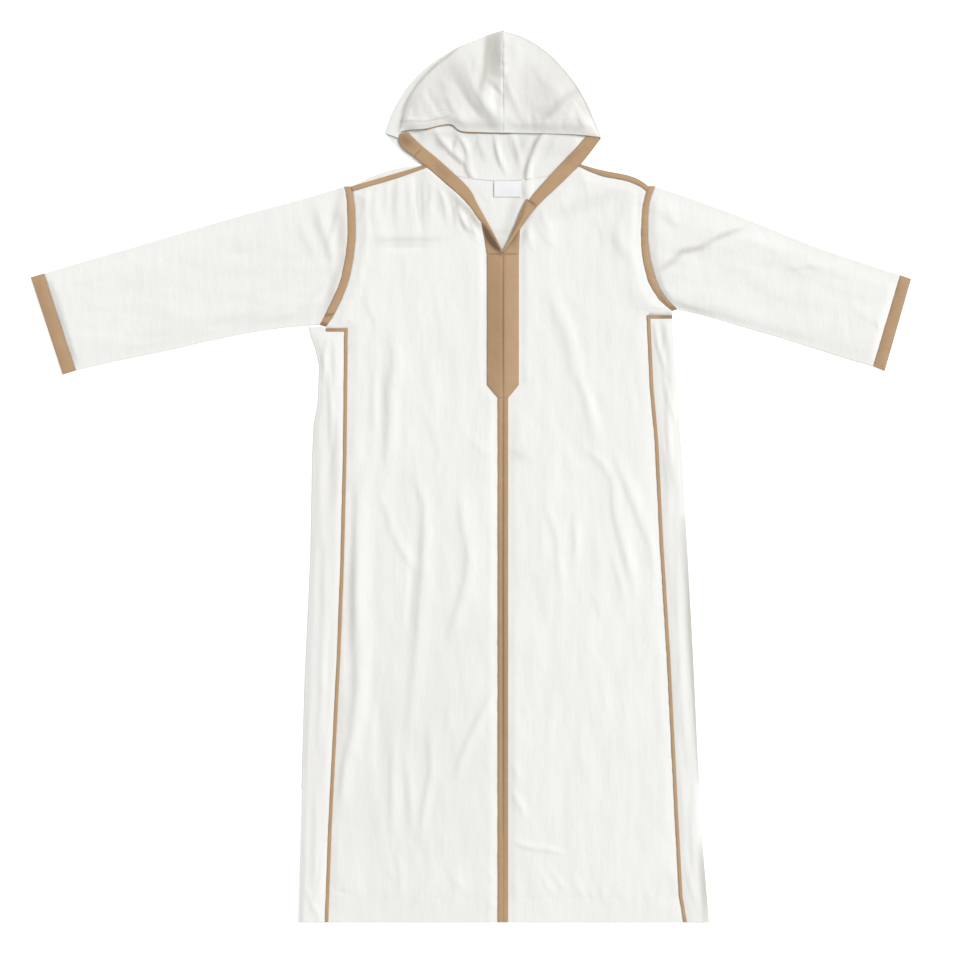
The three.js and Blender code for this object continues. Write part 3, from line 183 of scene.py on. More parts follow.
FOLDS = {
    "gathers_left": bent_lines(
        (154, 1402, 153, 1288, -3, 6, -2.6), (166, 1398, 168, 1300, 3, 7, -1.2),
        (132, 1378, 136, 1322, 2, 6.9, 1.4), (118, 1360, 104, 1300, 3, 6.9, 1.9),
        (97, 1346, 86, 1288, 4, 6.9, 2.1), (80, 1322, 60, 1272, -4, 5.8, 1.9),
        (64, 1304, 50, 1262, 2, 4.6, 1.4), (186, 1392, 196, 1300, -3, 9.2, 1.5),
        (206, 1384, 212, 1292, 3, 8, -1), (228, 1374, 236, 1286, -4, 9.2, 1.4),
        (252, 1366, 262, 1290, 3, 8, 1)),
    "gathers_right": bent_lines(
        (150, 1396, 160, 1340, 3, 7, 0.7), (106, 1352, 120, 1310, 3, 7, 0.8),
        (72, 1316, 84, 1280, 2, 6, 1.1), (46, 1288, 52, 1252, 2, 5, 1.2),
        (236, 1360, 222, 1300, 3, 8, 0.7)),
    "front_left": bent_lines(
        (250, 1300, 262, 1232, 3, 7.4, 1.1), (236, 1262, 122, 1262, 0, 9, 0.9),
        (222, 1247, 134, 1248, 0, 5, -0.9), (232, 1040, 236, 900, -4, 9.5, 1.3),
        (224, 430, 228, 250, -4, 10.5, -1), (20, 860, 64, 900, 3, 8.4, 0.8),
        (250, 1170, 236, 1110, -4, 9.5, 1.4), (120, 1150, 112, 1040, 4, 12.6, 0.8),
        (14, 60, 26, 20, 1, 5.2, 1.1), (200, 1075, 208, 984, 4, 13, 2.6),
        (208, 990, 213, 850, 1, 12, 2.7), (226, 1080, 232, 868, 4, 12, -0.9),
        (146, 948, 116, 852, 4, 8, 0.7), (158, 813, 146, 735, 5, 8, 1.7),
        (145, 745, 149, 630, 1, 10.5, 2.7), (149, 640, 166, 440, 1, 10.5, 2.5),
        (166, 450, 174, 355, 0, 9, 1.3), (164, 740, 176, 520, 2, 9.5, -1.2),
        (80, 790, 64, 680, 0, 10.5, 2.2), (63, 695, 69, 622, 2, 10.5, 2.2),
        (68, 632, 93, 535, 0, 10, 2), (224, 785, 206, 722, 2, 8.5, 1.5),
        (206, 728, 162, 652, -3, 7.5, 1.2), (265, 800, 268, 455, -4, 12.6, 3.4),
        (267, 475, 280, 330, 3, 12.5, 3.6), (278, 345, 301, 218, -3, 9.5, 2.4),
        (286, 810, 289, 430, 3, 9.5, -2), (240, 700, 244, 380, 4, 13, -1),
        (15, 426, 86, 276, -5, 8, 2), (205, 336, 207, 180, 2, 8.2, 2),
        (180, 306, 169, 176, 1, 8.2, 1.7), (134, 360, 133, 268, 0, 8.2, 1.5),
        (133, 286, 152, 163, 0, 8.2, 2.1), (104, 392, 100, 350, 2, 8, 0.8),
        (194, 118, 190, 66, 2, 6, 1.2), (212, 98, 200, 80, 1, 5, 0.7), (318, 59, 278, 51, -1, 4, -1.1),
        (300, 92, 290, 22, 3, 7, 0.7), (92, 80, 72, 56, 2, 6, 0.7), (150, 56, 166, 30, 1, 6, 0.6),
        (30, 96, 12, 62, 2, 5, 0.8), (150, 46, 168, 40, 0, 4, 0.9), (86, 47, 104, 43, 0, 4, 0.7)),
    "front_right": bent_lines(
        (205, 1276, 238, 1226, 5, 13.2, 1.3), (176, 1300, 190, 1250, -4, 11, 0.7),
        (64, 1300, 96, 1250, 4, 9.9, 0.9), (92, 1150, 132, 1020, -8, 14.3, 2),
        (112, 1150, 150, 1034, -6, 11, -0.9), (142, 372, 160, 250, 6, 11, 0.9),
        (88, 410, 80, 320, -4, 9.9, 0.6), (180, 470, 200, 380, 4, 9.9, 0.6),
        (68, 96, 96, 48, 2, 5.5, 0.9), (84, 104, 116, 58, 2, 5.5, 0.8),
        (132, 98, 140, 40, 2, 5.5, 0.8), (176, 74, 196, 30, 3, 6.6, 0.7),
        (296, 90, 280, 24, -3, 7.7, 0.7), (240, 1180, 256, 1130, 4, 9.9, 1),
        (40, 560, 56, 470, 4, 13.2, 0.5), (132, 1026, 172, 884, -5, 12, 1.7),
        (150, 1010, 186, 900, -5, 10, -1), (153, 876, 203, 813, -6, 8, 1.4),
        (203, 819, 209, 742, 1, 8.5, 2), (208, 750, 244, 612, -1, 9.5, 2.3),
        (211, 852, 266, 714, -1, 9.5, 2.3), (268, 718, 284, 638, -2, 8, 1.1),
        (104, 922, 150, 846, 4, 11, -0.7), (79, 768, 101, 704, -2, 8.5, 1.2),
        (100, 716, 108, 616, 1, 8.5, 1.7), (132, 742, 134, 670, -1, 6.5, 1.3),
        (70, 770, 72, 672, 0, 8, 0.8), (203, 674, 224, 598, -2, 7, 1.2),
        (166, 610, 182, 566, -1, 8, 0.7), (15, 242, 40, 194, -2, 6, 1.5),
        (14, 300, 28, 260, -1, 6, 1.1), (22, 148, 62, 136, 1, 5.2, 1.7),
        (60, 137, 108, 127, -2, 5.2, 1.5), (140, 72, 150, 44, 0, 5, 1), (158, 68, 168, 40, 0, 5, 0.9),
        (214, 54, 222, 40, 0, 5, 0.8)),
    "gore_left": bent_lines(
        (326, 1072, 332, 1010, -2, 5, 1.9), (314, 1075, 312, 980, 3, 6, 1.4),
        (322, 1010, 318, 880, 2, 5, 1.7), (306, 930, 316, 820, 2, 5, 1.2),
        (334, 900, 336, 700, -3, 6, 1.2), (330, 700, 340, 330, 3, 7, 1.4),
        (318, 560, 326, 360, -3, 6, -0.7), (346, 240, 350, 60, 2, 7, 1.2), (336, 96, 352, 30, 2, 6, 1),
        (364, 62, 341, 8, 0, 6, 1.3), (356, 46, 346, 30, 0, 5, -0.8)),
    "gore_right": bent_lines(
        (280, 1108, 302, 1016, 3, 5, 1.9), (300, 1105, 294, 1040, -2, 5, 1.1),
        (296, 1020, 318, 930, 3, 5, 1.3), (304, 975, 314, 820, 3, 6, 1.6), (296, 880, 308, 760, -3, 6, 1),
        (322, 640, 340, 300, 3, 7, 1.3), (330, 800, 336, 600, 3, 6, -0.6), (352, 240, 356, 70, 3, 7, 1.1),
        (340, 110, 360, 30, 3, 6, 1)),
    "sleeve_left": bent_lines(
        (302, 1338, 322, 1252, 4, 8, 2.7), (342, 1332, 318, 1246, -5, 10, 2.2),
        (322, 1252, 316, 1206, 2, 8, 1.4), (372, 1300, 344, 1230, -5, 11, 1.1),
        (330, 1170, 382, 1130, 5, 9, 1.8), (354, 1124, 470, 1106, -6, 10, 2.2),
        (470, 1106, 560, 1092, 4, 9, 1.3), (560, 1160, 660, 1120, 6, 14, 0.9),
        (430, 1230, 540, 1196, -8, 16, 0.8), (690, 1110, 762, 1070, 5, 11, 1.3),
        (700, 1180, 800, 1150, -5, 12, 0.9), (628, 1222, 700, 1196, 4, 12, 0.7),
        (596, 1084, 690, 1064, 3, 8, 1.3), (350, 1210, 420, 1180, -6, 13, 0.9)),
    "sleeve_right": bent_lines(
        (282, 1201, 330, 1240, 3, 6, -2.2), (322, 1237, 374, 1249, 1, 6, -2.4),
        (366, 1248, 440, 1281, -3, 6, -2.2), (300, 1190, 370, 1228, 3, 12, 1.4),
        (360, 1230, 430, 1258, -3, 12, 1.2), (640, 1150, 700, 1104, 5, 8, 0.5),
        (690, 1112, 700, 1096, 1, 5, 0.8), (292, 1318, 330, 1288, 4, 9, 1),
        (306, 1342, 318, 1290, 3, 7, 0.9), (322, 1150, 376, 1124, 4, 7, 1.5),
        (376, 1124, 470, 1102, -3, 7, 1.4), (470, 1104, 560, 1080, 3, 8, 0.9),
        (565, 1214, 596, 1212, 3, 7, 1.1), (520, 1220, 556, 1196, -3, 8, 0.7),
        (610, 1230, 650, 1214, 3, 7, 0.9), (470, 1180, 560, 1150, 6, 14, 0.6),
        (420, 1210, 500, 1190, -5, 13, 0.6), (600, 1180, 690, 1160, 4, 11, 0.6)),
    "hood_left": bent_lines(
        (0, 1655, 0, 1560, 0, 14, 1.6), (24, 1650, 22, 1560, 2, 14, -2.4),
        (16, 1572, 10, 1500, -2, 9, -1.8), (82, 1548, 16, 1466, -6, 9, -3),
        (60, 1562, 10, 1486, -5, 10, 2.6), (112, 1552, 62, 1466, -5, 12, 2.2),
        (140, 1536, 108, 1484, -3, 6, -1.2), (166, 1524, 172, 1478, 3, 7, -1.6),
        (30, 1562, 4, 1536, 2, 6, 1.4), (26, 1546, 4, 1524, 2, 5, -1.2),
        (120, 1590, 92, 1536, -5, 14, 1.4), (128, 1494, 70, 1476, 2, 9, 1.2),
        (58, 1622, 46, 1560, 4, 13, 1.6), (152, 1560, 132, 1500, -3, 12, 1.2)),
    "hood_right": bent_lines(
        (0, 1655, 0, 1560, 0, 14, 2.1), (128, 1518, 74, 1482, -4, 7, -3),
        (112, 1534, 62, 1500, -5, 10, 2.1), (8, 1560, 34, 1490, 3, 7, 1.3),
        (60, 1590, 90, 1540, 5, 12, 1.3), (14, 1480, 34, 1472, 2, 5, 1.1),
        (140, 1500, 150, 1474, 3, 7, 1.1), (24, 1630, 20, 1570, -3, 9, 1.1),
        (52, 1496, 56, 1464, 2, 6, -1.1), (112, 1486, 108, 1462, 2, 5, -1)),
    # the back of the hood and of the neck, seen through the neck; out is below 0 on the left
    "inside": bent_lines(
        (-122, 1458, -68, 1404, 5, 6, 2.4), (-84, 1454, -68, 1404, -8, 5, 2.7),
        (-68, 1404, -54, 1376, 3, 6, 2.1), (-14, 1454, 4, 1388, 4, 5, 2.4),
        (14, 1458, 30, 1402, -3, 5, 1.9), (78, 1458, 56, 1418, 3, 6, 2.9),
        (56, 1420, 45, 1366, 3, 6, 3.2), (45, 1366, 50, 1330, 2, 6, 2.4),
        (-44, 1452, -28, 1408, 3, 7, 1.3), (96, 1450, 84, 1420, -3, 6, 1),
        (-102, 1440, -88, 1416, 2, 5, 1)),
}
print("folds placed by hand:", sum(len(folds["rise"]) for folds in FOLDS.values()))

# %% [markdown]
# ## Shades
#
# Where cloth is crushed, or hangs over a hollow, it gives back less light than its plain shape would, and
# the raised edge of a band casts a shadow beside it. Such places get a painted shade in their colour:
# painted shadow beside the bands, painted shade in creases and on flanks turned from the light, and a few
# broad ones that make whole parts of a piece a little darker. They're listed like the folds, from the
# centre line with "out" below 0 on the left, and the last column is the share of the shade instead of a rise.

# %% Shades in the colour
SHADES = {
    "hood_left": bent_lines(
        (-3, 1668, -4, 1556, 0, 6, 0.55), (-12, 1668, -13, 1558, 0, 7, 0.8),
        (-20, 1656, -22, 1556, 2, 7, 0.85), (-28, 1652, -32, 1560, 1, 5, 0.75),
        (-30, 1592, -42, 1520, 1, 8, 0.41), (-20, 1572, -26, 1530, 1, 6, 0.23),
        (-10, 1560, -6, 1486, 2, 7, 0.23), (-82, 1548, -14, 1462, 6, 10, 0.55),
        (-104, 1596, -76, 1540, 3, 15, 0.34), (-136, 1540, -104, 1486, 2, 9, 0.25),
        (-164, 1532, -166, 1494, 3, 8, 0.33), (-112, 1604, -74, 1486, 8, 50, 0.25),
        (-190, 1481, -143, 1480, 0, 2, 0.49), (-143, 1480, -100, 1489, 0, 2, 0.49),
        (-92, 1474, 4, 1472, 0, 9, 0.38), (-190, 1470, -96, 1478, 2, 6, 0.25),
        (-30, 1494, -6, 1464, 1, 9, 0.29), (-24, 1646, -60, 1630, 1, 2, 0.41),
        (-60, 1632, -106, 1596, 3, 2.6, 0.82), (-104, 1600, -158, 1549, 3, 2.6, 0.98),
        (-150, 1560, -186, 1496, 3, 2.6, 0.98), (-178, 1518, -192, 1466, 1, 2.6, 0.9),
        (-126, 1452, -108, 1430, 2, 6, 0.57), (-86, 1450, -90, 1420, 3, 4, 0.61),
        (-90, 1420, -72, 1398, 2, 4, 0.57), (-64, 1424, -62, 1392, 2, 4, 0.53),
        (-70, 1396, -56, 1372, 2, 5, 0.49), (-48, 1446, -52, 1424, 1, 4, 0.25),
        (-18, 1450, -1, 1391, 3, 3, 0.45), (-150, 1457, -40, 1455, 0, 5, 0.25),
        (-36, 1440, -30, 1400, 3, 9, 0.18), (-40, 1600, -60, 1500, 3, 30, 0.1),
        (-38, 1560, -42, 1532, 0, 6, 0.35), (-84, 1594, -80, 1556, 0, 14, 0.2),
        (-152, 1518, -130, 1488, 0, 24, 0.16)),
    "hood_right": bent_lines(
        (142, 1540, 70, 1474, 6, 9, 0.49), (96, 1590, 70, 1486, 6, 48, 0.28),
        (0, 1473, 166, 1467, 1, 9, 0.41), (8, 1562, 7, 1520, 1, 3, 0.29),
        (22, 1636, 12, 1590, 2, 8, 0.13), (34, 1480, 60, 1468, 1, 8, 0.2),
        (72, 1458, 50, 1419, 3, 4, 0.66), (50, 1419, 39, 1367, 3, 4, 0.66),
        (9, 1454, 24, 1408, 2, 3, 0.41), (30, 1440, 26, 1380, 2, 8, 0.18),
        (140, 1490, 150, 1462, 2, 5, 0.29), (40, 1452, 34, 1430, 1, 5, 0.25),
        (60, 1660, 70, 1470, 0, 90, 0.17), (128, 1562, 160, 1480, 0, 14, 0.3),
        (30, 1642, 140, 1548, -6, 16, 0.12), (150, 1520, 162, 1472, 0, 12, 0.35)),
    "back_panel": bent_lines(
        (37, 1372, 42, 1336, 2, 4, 0.45), (30, 1350, 5, 1256, 4, 8, 0.45),
        (-49, 1360, -28, 1330, 2, 4, 0.23), (-8, 1270, 2, 1246, 1, 7, 0.29),
        (-22, 1275, 14, 1276, 0, 4, 0.3), (-72, 1372, -40, 1316, 2, 5, 0.12)),
    "front_left": bent_lines(
        (-60, 1314, -40, 1282, 2, 7, 0.8), (-102, 1354, -60, 1312, 2, 8, 0.65),
        (-85, 1334, -81, 1306, 2, 4, 0.5), (-81, 1306, -54, 1273, 4, 4, 0.6),
        (-158, 1388, -156, 1296, 2, 3, 0.37), (-178, 1380, -170, 1280, 2, 9, 0.25),
        (-122, 1366, -112, 1310, 3, 5, 0.26), (-218, 1384, -214, 1296, 3, 7, 0.2),
        (-216, 1085, -219, 905, 3, 7, 0.2), (-158, 655, -172, 503, 4, 6, 0.2),
        (-278, 690, -281, 500, 3, 9, 0.25), (-236, 1263, -112, 1263, 0, 7, 0.38),
        (-150, 620, -150, -60, 0, 190, 0.15), (-60, 1180, -60, 980, 0, 60, 0.05),
        (-150, 1392, -92, 1342, 0, 9, 0.26), (-92, 1345, -48, 1290, 0, 8, 0.3)),
    "front_right": bent_lines(
        (42, 1290, 36, 1254, 1, 5, 0.5), (60, 1318, 44, 1292, 1, 5, 0.3),
        (205, 1276, 228, 1236, 4, 9, 0.2), (88, 1150, 122, 1026, 5, 9, 0.16),
        (240, 1360, 232, 1300, 2, 9, 0.16), (14, 872, 40, 856, 0, 8, 0.28),
        (304, 104, 320, 44, 0, 7, 0.22), (150, 420, 150, -100, 0, 180, 0.04),
        (236, 1360, 76, 1306, -4, 14, 0.18), (212, 1310, 203, 1248, 0, 9, 0.14),
        (254, 1356, 253, 1296, 0, 6, 0.2), (246, 1166, 264, 1128, 0, 8, 0.18)),
    "gore_left": bent_lines(
        (-305, 925, -314, 770, 0, 8, 0.3), (-330, 1100, -345, -60, 0, 60, 0.14)),
    "gore_right": bent_lines(
        (304, 1090, 312, 960, 2, 7, 0.25), (335, 740, 362, 270, 0, 7, 1.1),
        (366, 140, 377, -10, 0, 7, 1), (305, 860, 318, 780, 0, 10, 0.2),
        (320, 1100, 345, -60, 0, 60, 0.03), (290, 1122, 304, 1052, 0, 7, 0.3)),
    "sleeve_left": bent_lines(
        (-298, 1350, -296, 1212, 0, 10, 0.8), (-352, 1330, -330, 1240, 3, 9, 0.18),
        (-620, 1190, -330, 1260, 0, 80, 0.06), (-640, 1090, -330, 1135, -6, 12, 0.1),
        (-296, 1228, -333, 1112, 0, 8, 0.75)),
    "sleeve_right": bent_lines(
        (282, 1201, 330, 1240, 3, 5, 0.6), (322, 1237, 374, 1249, 1, 5, 0.75),
        (366, 1248, 440, 1281, -3, 4, 0.6), (522, 1203, 590, 1213, -2, 4, 0.2),
        (318, 1144, 388, 1123, 0, 6, 0.5), (276, 1310, 290, 1200, 0, 8, 0.12)),
    "placket_left": bent_lines(
        (-40, 1294, -4, 1240, 2, 6, 1.5), (-32, 1270, -8, 1244, 2, 5, 0.5),
        (0, 1232, 0, 968, 0, 1, 0.6), (-30, 1235, 0, 1235, 0, 1, 0.5),
        (-14, 1232, -16, 980, 0, 26, 0.2)),
    "placket_right": bent_lines(
        (32, 1284, 8, 1246, 1, 8, 0.42), (30, 1235, 0, 1235, 0, 1, 0.45),
        (0, 1230, 0, 970, 0, 1, 0.55), (24, 1276, 24, 1240, 1, 6, 0.2)),
    "centre_band_left": bent_lines(
        (0, 970, 0, 160, 0, 1, 0.65), (-5, 760, -5, 300, 2, 6, 0.1),
        (-5, 1100, -5, -120, 0, 14, 0.09)),
    "centre_band_right": bent_lines(
        (0, 970, 0, 160, 0, 1, 0.65), (5, 600, 6, 60, 2, 6, 0.12), (5, 1100, 5, -120, 0, 14, 0.08)),
    "neck_band_left": bent_lines(
        (-190, 1458, -168, 1436, 2, 9, 0.55), (-150, 1430, -166, 1414, 0, 2, 0.4),
        (-128, 1408, -96, 1378, 3, 9, 0.22), (-40, 1300, -12, 1262, 2, 3, 0.3)),
    "neck_band_right": bent_lines(
        (42, 1338, 62, 1322, -1, 1, 0.95), (43, 1334, 10, 1262, -3, 3, 0.55),
        (150, 1432, 112, 1400, 3, 8, 0.16), (184, 1456, 164, 1452, 0, 4, 0.5)),
    "armhole_band_left": bent_lines(
        (-331, 1121, -308, 1126, 0, 1.8, 0.8), (-344, 1108, -318, 1102, 0, 4, 0.7)),
    "armhole_band_right": bent_lines(
        (291, 1160, 306, 1138, 1, 3, 0.4), (308, 1140, 326, 1130, 1, 4, 0.6)),
    "piping_right": bent_lines(
        (288, 1119.5, 318, 1119.5, 0, 3, 0.5)),
    "piping_left": bent_lines(
        (-304, 1095.5, -330, 1095.5, 0, 3, 0.3)),
    "shoulder_tape_left": bent_lines(
        (-156, 1398, -142, 1402, 0, 4, 0.6)),
    "cuff_left": bent_lines(
        (-800, 1200, -870, 1000, 0, 120, 0.08)),
    "cuff_right": bent_lines(
        (740, 1200, 690, 1010, 0, 120, 0.08)),
}
print("soft shades:", sum(len(shades["rise"]) for shades in SHADES.values()))

# %% [markdown]
# ## Small tools for shapes
#
# Four helpers do most of the work: a smooth curve through a column of a table, soft random hills, the
# lift that a table of folds gives, and the distance to an outline. All of them take whole arrays. The
# hills are listed first, since each piece has its own: cloth that hangs one way is crumpled longer that
# way, and a seam has short puckers across it.

# %% The random hills of each piece
HILLS = {  # the rise in metres or as a share, the width and the length in millimetres, and the seed
    "lay": (0.35 * MM, 70, 90, 3),
    "front_puff": (0.35, 90, 160, 11),
    "front_swell": (0.5 * MM, 24, 75, 12),
    "front_small": (0.25 * MM, 13, 30, 13),
    "front_pucker": (1, 45, 9, 14),
    "trim_pucker": (0.5, 45, 11, 15),
    "hem": (0.5 * MM, 11, 60, 16),
    "gore_puff": (0.4, 30, 110, 21),
    "gore_small": (0.35 * MM, 14, 60, 22),
    "inside": (0.5 * MM, 17, 30, 25),
    "sleeve_puff": (0.3, 90, 70, 31),
    "sleeve_swell": (0.45 * MM, 60, 22, 32),
    "sleeve_small": (0.25 * MM, 26, 12, 33),
    "sleeve_pucker": (1, 50, 10, 34),
    "band_wrinkle": (0.35 * MM, 40, 7, 41),
    "band_crumple": (0.245 * MM, 14, 16, 42),
    "cuff_wrinkle": (0.3 * MM, 9, 30, 43),
    "cuff_crumple": (0.24 * MM, 30, 22, 44),
    "hood_swell": (0.6 * MM, 26, 30, 51),
    "hood_seam": (1.2 * MM, 30, 8, 52),
    "hood_edge": (0.35 * MM, 12, 40, 53),
    "hood_small": (0.3 * MM, 9, 12, 54),
    "hood_groove": (0.5, 10, 14, 55),
    "tape_small": (0.22 * MM, 11, 11, 61),
    "tape_wrinkle": (0.2 * MM, 40, 26, 62),
    "neck_wrinkle": (0.25 * MM, 30, 13, 63),
    "label": (0.2 * MM, 18, 14, 71),
}
print("kinds of hills:", len(HILLS))

# %% Curves and hills
TINY = 1e-9  # keeps a length that something is divided by above nought
LATTICE = 97  # places along each side of a lattice of hills
LATTICE_START = 40  # where 0 falls on it; a lattice starts again past its end
FLANKS = 0.3  # how much the two flanks of a fold differ
END_SHARE = 0.35  # how much of a fold's rise is left at its ends
END_REACH = 1.6  # how far it runs on there, in widths
RIM = 0.8 * MM  # the narrow step of a grid at the rims of a piece


def smooth(column, t):
    """A Catmull-Rom curve through a column: t runs from 0 at its first row to 1 at its last."""
    place = np.asarray(t, float) * (len(column) - 1)
    row = np.clip(place.astype(int), 0, len(column) - 2)
    rest = place - row
    padded = np.concatenate([column[:1], column, column[-1:]])
    a, b, c, d = (padded[row + step] for step in range(4))
    return b + 0.5 * rest * (c - a + rest * (2 * a - 5 * b + 4 * c - d + rest * (3 * (b - c) + d - a)))


def smoothstep(x, start, end):
    """0 before start, 1 after end, and 3s^2 - 2s^3 between them."""
    s = np.clip((x - start) / (end - start), 0, 1)
    return s * s * (3 - 2 * s)


def hills(x, y, name):
    """Random heights on a lattice, up and down by the rise in HILLS and joined by smoothstep."""
    rise, width, length, seed = HILLS[name]
    lattice = np.random.default_rng(seed).uniform(-1, 1, (LATTICE, LATTICE))
    u, v = x / (width * MM) + LATTICE_START, y / (length * MM) + LATTICE_START
    column, row = np.floor(u).astype(int), np.floor(v).astype(int)
    s, t = smoothstep(u - column, 0, 1), smoothstep(v - row, 0, 1)
    left, right = column % LATTICE, (column + 1) % LATTICE
    near, far = (lattice[which % LATTICE, left] * (1 - s) + lattice[which % LATTICE, right] * s
                 for which in (row, row + 1))
    return rise * (near * (1 - t) + far * t)


def arch(t):
    """0 at both ends and 1 in the middle: 4t(1 - t)."""
    return 4 * t * (1 - t)


def dip(distance, depth, width):
    """A soft trough beside a line: depth * exp(-(distance / width)^2)."""
    return depth * np.exp(-((distance / width) ** 2))


# %% Folds and distances
def fold_lift(folds, out, y, steep=0):
    """The sum of the folds: rise * exp(-(distance / width)^2) beside a bent line that fades at its ends.
    With `steep` at 1 or -1 the flank on one side of each fold is narrower than the other."""
    lift = np.zeros(np.broadcast(out, y).shape)
    for start_out, start_y, end_out, end_y, bend, width, rise in zip(*folds.values()):
        run_out, run_y = end_out - start_out, end_y - start_y
        length = np.hypot(run_out, run_y)
        share = ((out - start_out) * run_out + (y - start_y) * run_y) / length**2
        aside = ((out - start_out) * run_y - (y - start_y) * run_out) / length
        aside = aside - bend * arch(np.clip(share, 0, 1))
        downwards = -1 if run_y < 0 else 1
        width = width * (1 + FLANKS * steep * downwards * np.tanh(2 * aside / width))
        past = length * np.maximum(0, np.maximum(-share, share - 1))
        fade = arch(np.clip(share, 0, 1)) * (1 - END_SHARE) + END_SHARE
        lift += rise * fade * np.exp(-((aside / width) ** 2) - (past / (END_REACH * width)) ** 2)
    return lift


def distance_to(line_out, line_y, out, y):
    """The shortest distance from each place to a line of straight stretches."""
    nearest = np.full(np.broadcast(out, y).shape, np.inf)
    for a_out, a_y, b_out, b_y in zip(line_out[:-1], line_y[:-1], line_out[1:], line_y[1:]):
        run_out, run_y = b_out - a_out, b_y - a_y
        share = ((out - a_out) * run_out + (y - a_y) * run_y) / max(run_out**2 + run_y**2, TINY**2)
        share = np.clip(share, 0, 1)
        nearest = np.minimum(nearest, np.hypot(out - a_out - share * run_out, y - a_y - share * run_y))
    return nearest


def spaced(length, step, rim=RIM):
    """Shares from 0 to 1 along a length: even steps, and a narrow one at each end for a rounded rim."""
    inner = np.linspace(0, 1, max(int(length / step), 2) + 1)[1:-1]
    return np.concatenate([[0, rim / length], inner, [1 - rim / length, 1]])


def lay(x, y):
    """The pressed front layer: its top, with soft hills of up to 0.7 mm that every piece on it shares."""
    return FLAT_TOP + HILLS["lay"][0] + hills(x, y, "lay")


# %% [markdown]
# ## From a grid to a piece of cloth
#
# `cloth` turns a grid of places into a mesh, writes the plain distances over the cloth into a UV map, so
# that the weave keeps its size round a turn, and gives it its thickness with a Solidify modifier. The
# thickness goes inwards from the grid, so the grid is always the side that shows. `make` also hides the
# imported piece that the cloth takes the place of, and notes the size of the flat piece that it was.


# %% Turning grids into pieces
MEETS = 0.02 * MM  # places nearer than this are one
NO_SIZE = 0.01 * MM  # an edge shorter than this is taken out


def cloth_lengths(grid):
    """For each place of a grid, the distance walked over the cloth across it and along it."""
    across = np.zeros(grid.shape[:2])
    along = np.zeros(grid.shape[:2])
    across[:, 1:] = np.cumsum(np.linalg.norm(np.diff(grid, axis=1), axis=2), axis=1)
    along[1:] = np.cumsum(np.linalg.norm(np.diff(grid, axis=0), axis=2), axis=0)
    return across, along


# %% The mesh of a piece
def grid_faces(rows, columns, kept):
    """The four corners of each face of a grid, without the faces that `kept` leaves out."""
    index = np.arange(rows * columns).reshape(rows, columns)
    corners = (index[:-1, :-1], index[:-1, 1:], index[1:, 1:], index[1:, :-1])
    faces = np.stack(corners, -1).reshape(-1, 4)
    if kept is None:
        return faces
    return faces[np.broadcast_to(kept, (rows - 1, columns - 1)).ravel()]


def look_up(places, faces):
    """Whether faces look up: the heights of the cross products of two of their edges, summed."""
    first = places[faces[:, 0]]
    return np.cross(places[faces[:, 1]] - first, places[faces[:, 3]] - first)[:, 2].sum() > 0


def write_shade(mesh, node, places):
    """The shades of a node at the places of its mesh, as an attribute from 0 to 1."""
    if node not in SHADES:
        return
    # a table turns its shares into thousandths with the rest, so they're turned back here
    shade = fold_lift(SHADES[node], places[:, 0] - CENTRE_X, places[:, 1] - HEM_Y) / MM
    values = mesh.attributes.new("shade", "FLOAT", "POINT").data
    values.foreach_set("value", np.clip(shade, 0, 1).astype(np.float32))


def close_up(mesh):
    """Merges the places that meet, as along a tube's seam, and takes out faces without a size."""
    work = bmesh.new()
    work.from_mesh(mesh)
    bmesh.ops.remove_doubles(work, verts=work.verts, dist=MEETS)
    bmesh.ops.dissolve_degenerate(work, edges=work.edges, dist=NO_SIZE)
    work.to_mesh(mesh)
    work.free()


# %% A piece, and the size that it was cut to
def placed(name, mesh, slot):
    """An object with a smooth mesh, on the robe's one body, with its slot and its finish."""
    mesh.polygons.foreach_set("use_smooth", np.ones(len(mesh.polygons), bool))
    piece = bpy.data.objects.new(name, mesh)
    bpy.context.scene.collection.objects.link(piece)
    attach(piece, "root")
    mesh.materials.append(FINISHES[slot])
    return piece


def cloth(name, grid, kept=None, thickness=CLOTH, slot="cloth", top_first=True):
    """A piece from a grid with shape (rows, columns, 3), whose first faces look up if `top_first` is True."""
    rows, columns = grid.shape[:2]
    places = grid.reshape(-1, 3)
    faces = grid_faces(rows, columns, kept)
    if look_up(places, faces[: max(columns // 4, 1)]) != top_first:
        faces = faces[:, ::-1]
    used, faces = np.unique(faces, return_inverse=True)
    mesh = bpy.data.meshes.new(name)
    mesh.from_pydata(places[used].tolist(), [], faces.reshape(-1, 4).tolist())
    uv = np.stack([lengths.ravel()[used] for lengths in cloth_lengths(grid)], -1)
    loops = np.empty(len(mesh.loops), np.int32)
    mesh.loops.foreach_get("vertex_index", loops)
    mesh.uv_layers.new(name="cut").uv.foreach_set("vector", uv[loops].ravel().astype(np.float32))
    write_shade(mesh, name.split("_", 1)[1], places[used])
    close_up(mesh)
    piece = placed(name, mesh, slot)
    shell = piece.modifiers.new("thickness", "SOLIDIFY")
    shell.thickness = thickness
    shell.offset = -1
    return piece


def cut_size(grid, kept=None):
    """The rectangle that a piece is cut from, and the cloth in it, measured over its grid."""
    across, along = cloth_lengths(grid)
    a, b = grid[1:, 1:] - grid[:-1, :-1], grid[1:, :-1] - grid[:-1, 1:]
    areas = np.linalg.norm(np.cross(a, b), axis=2) / 2
    if kept is not None:
        areas = areas * kept
    return float(across.max()), float(along.max()), float(areas.sum())


SHEETS = []
NARROWEST = 10 * MM  # the frame takes no narrower sheet: a narrower tape is given this width


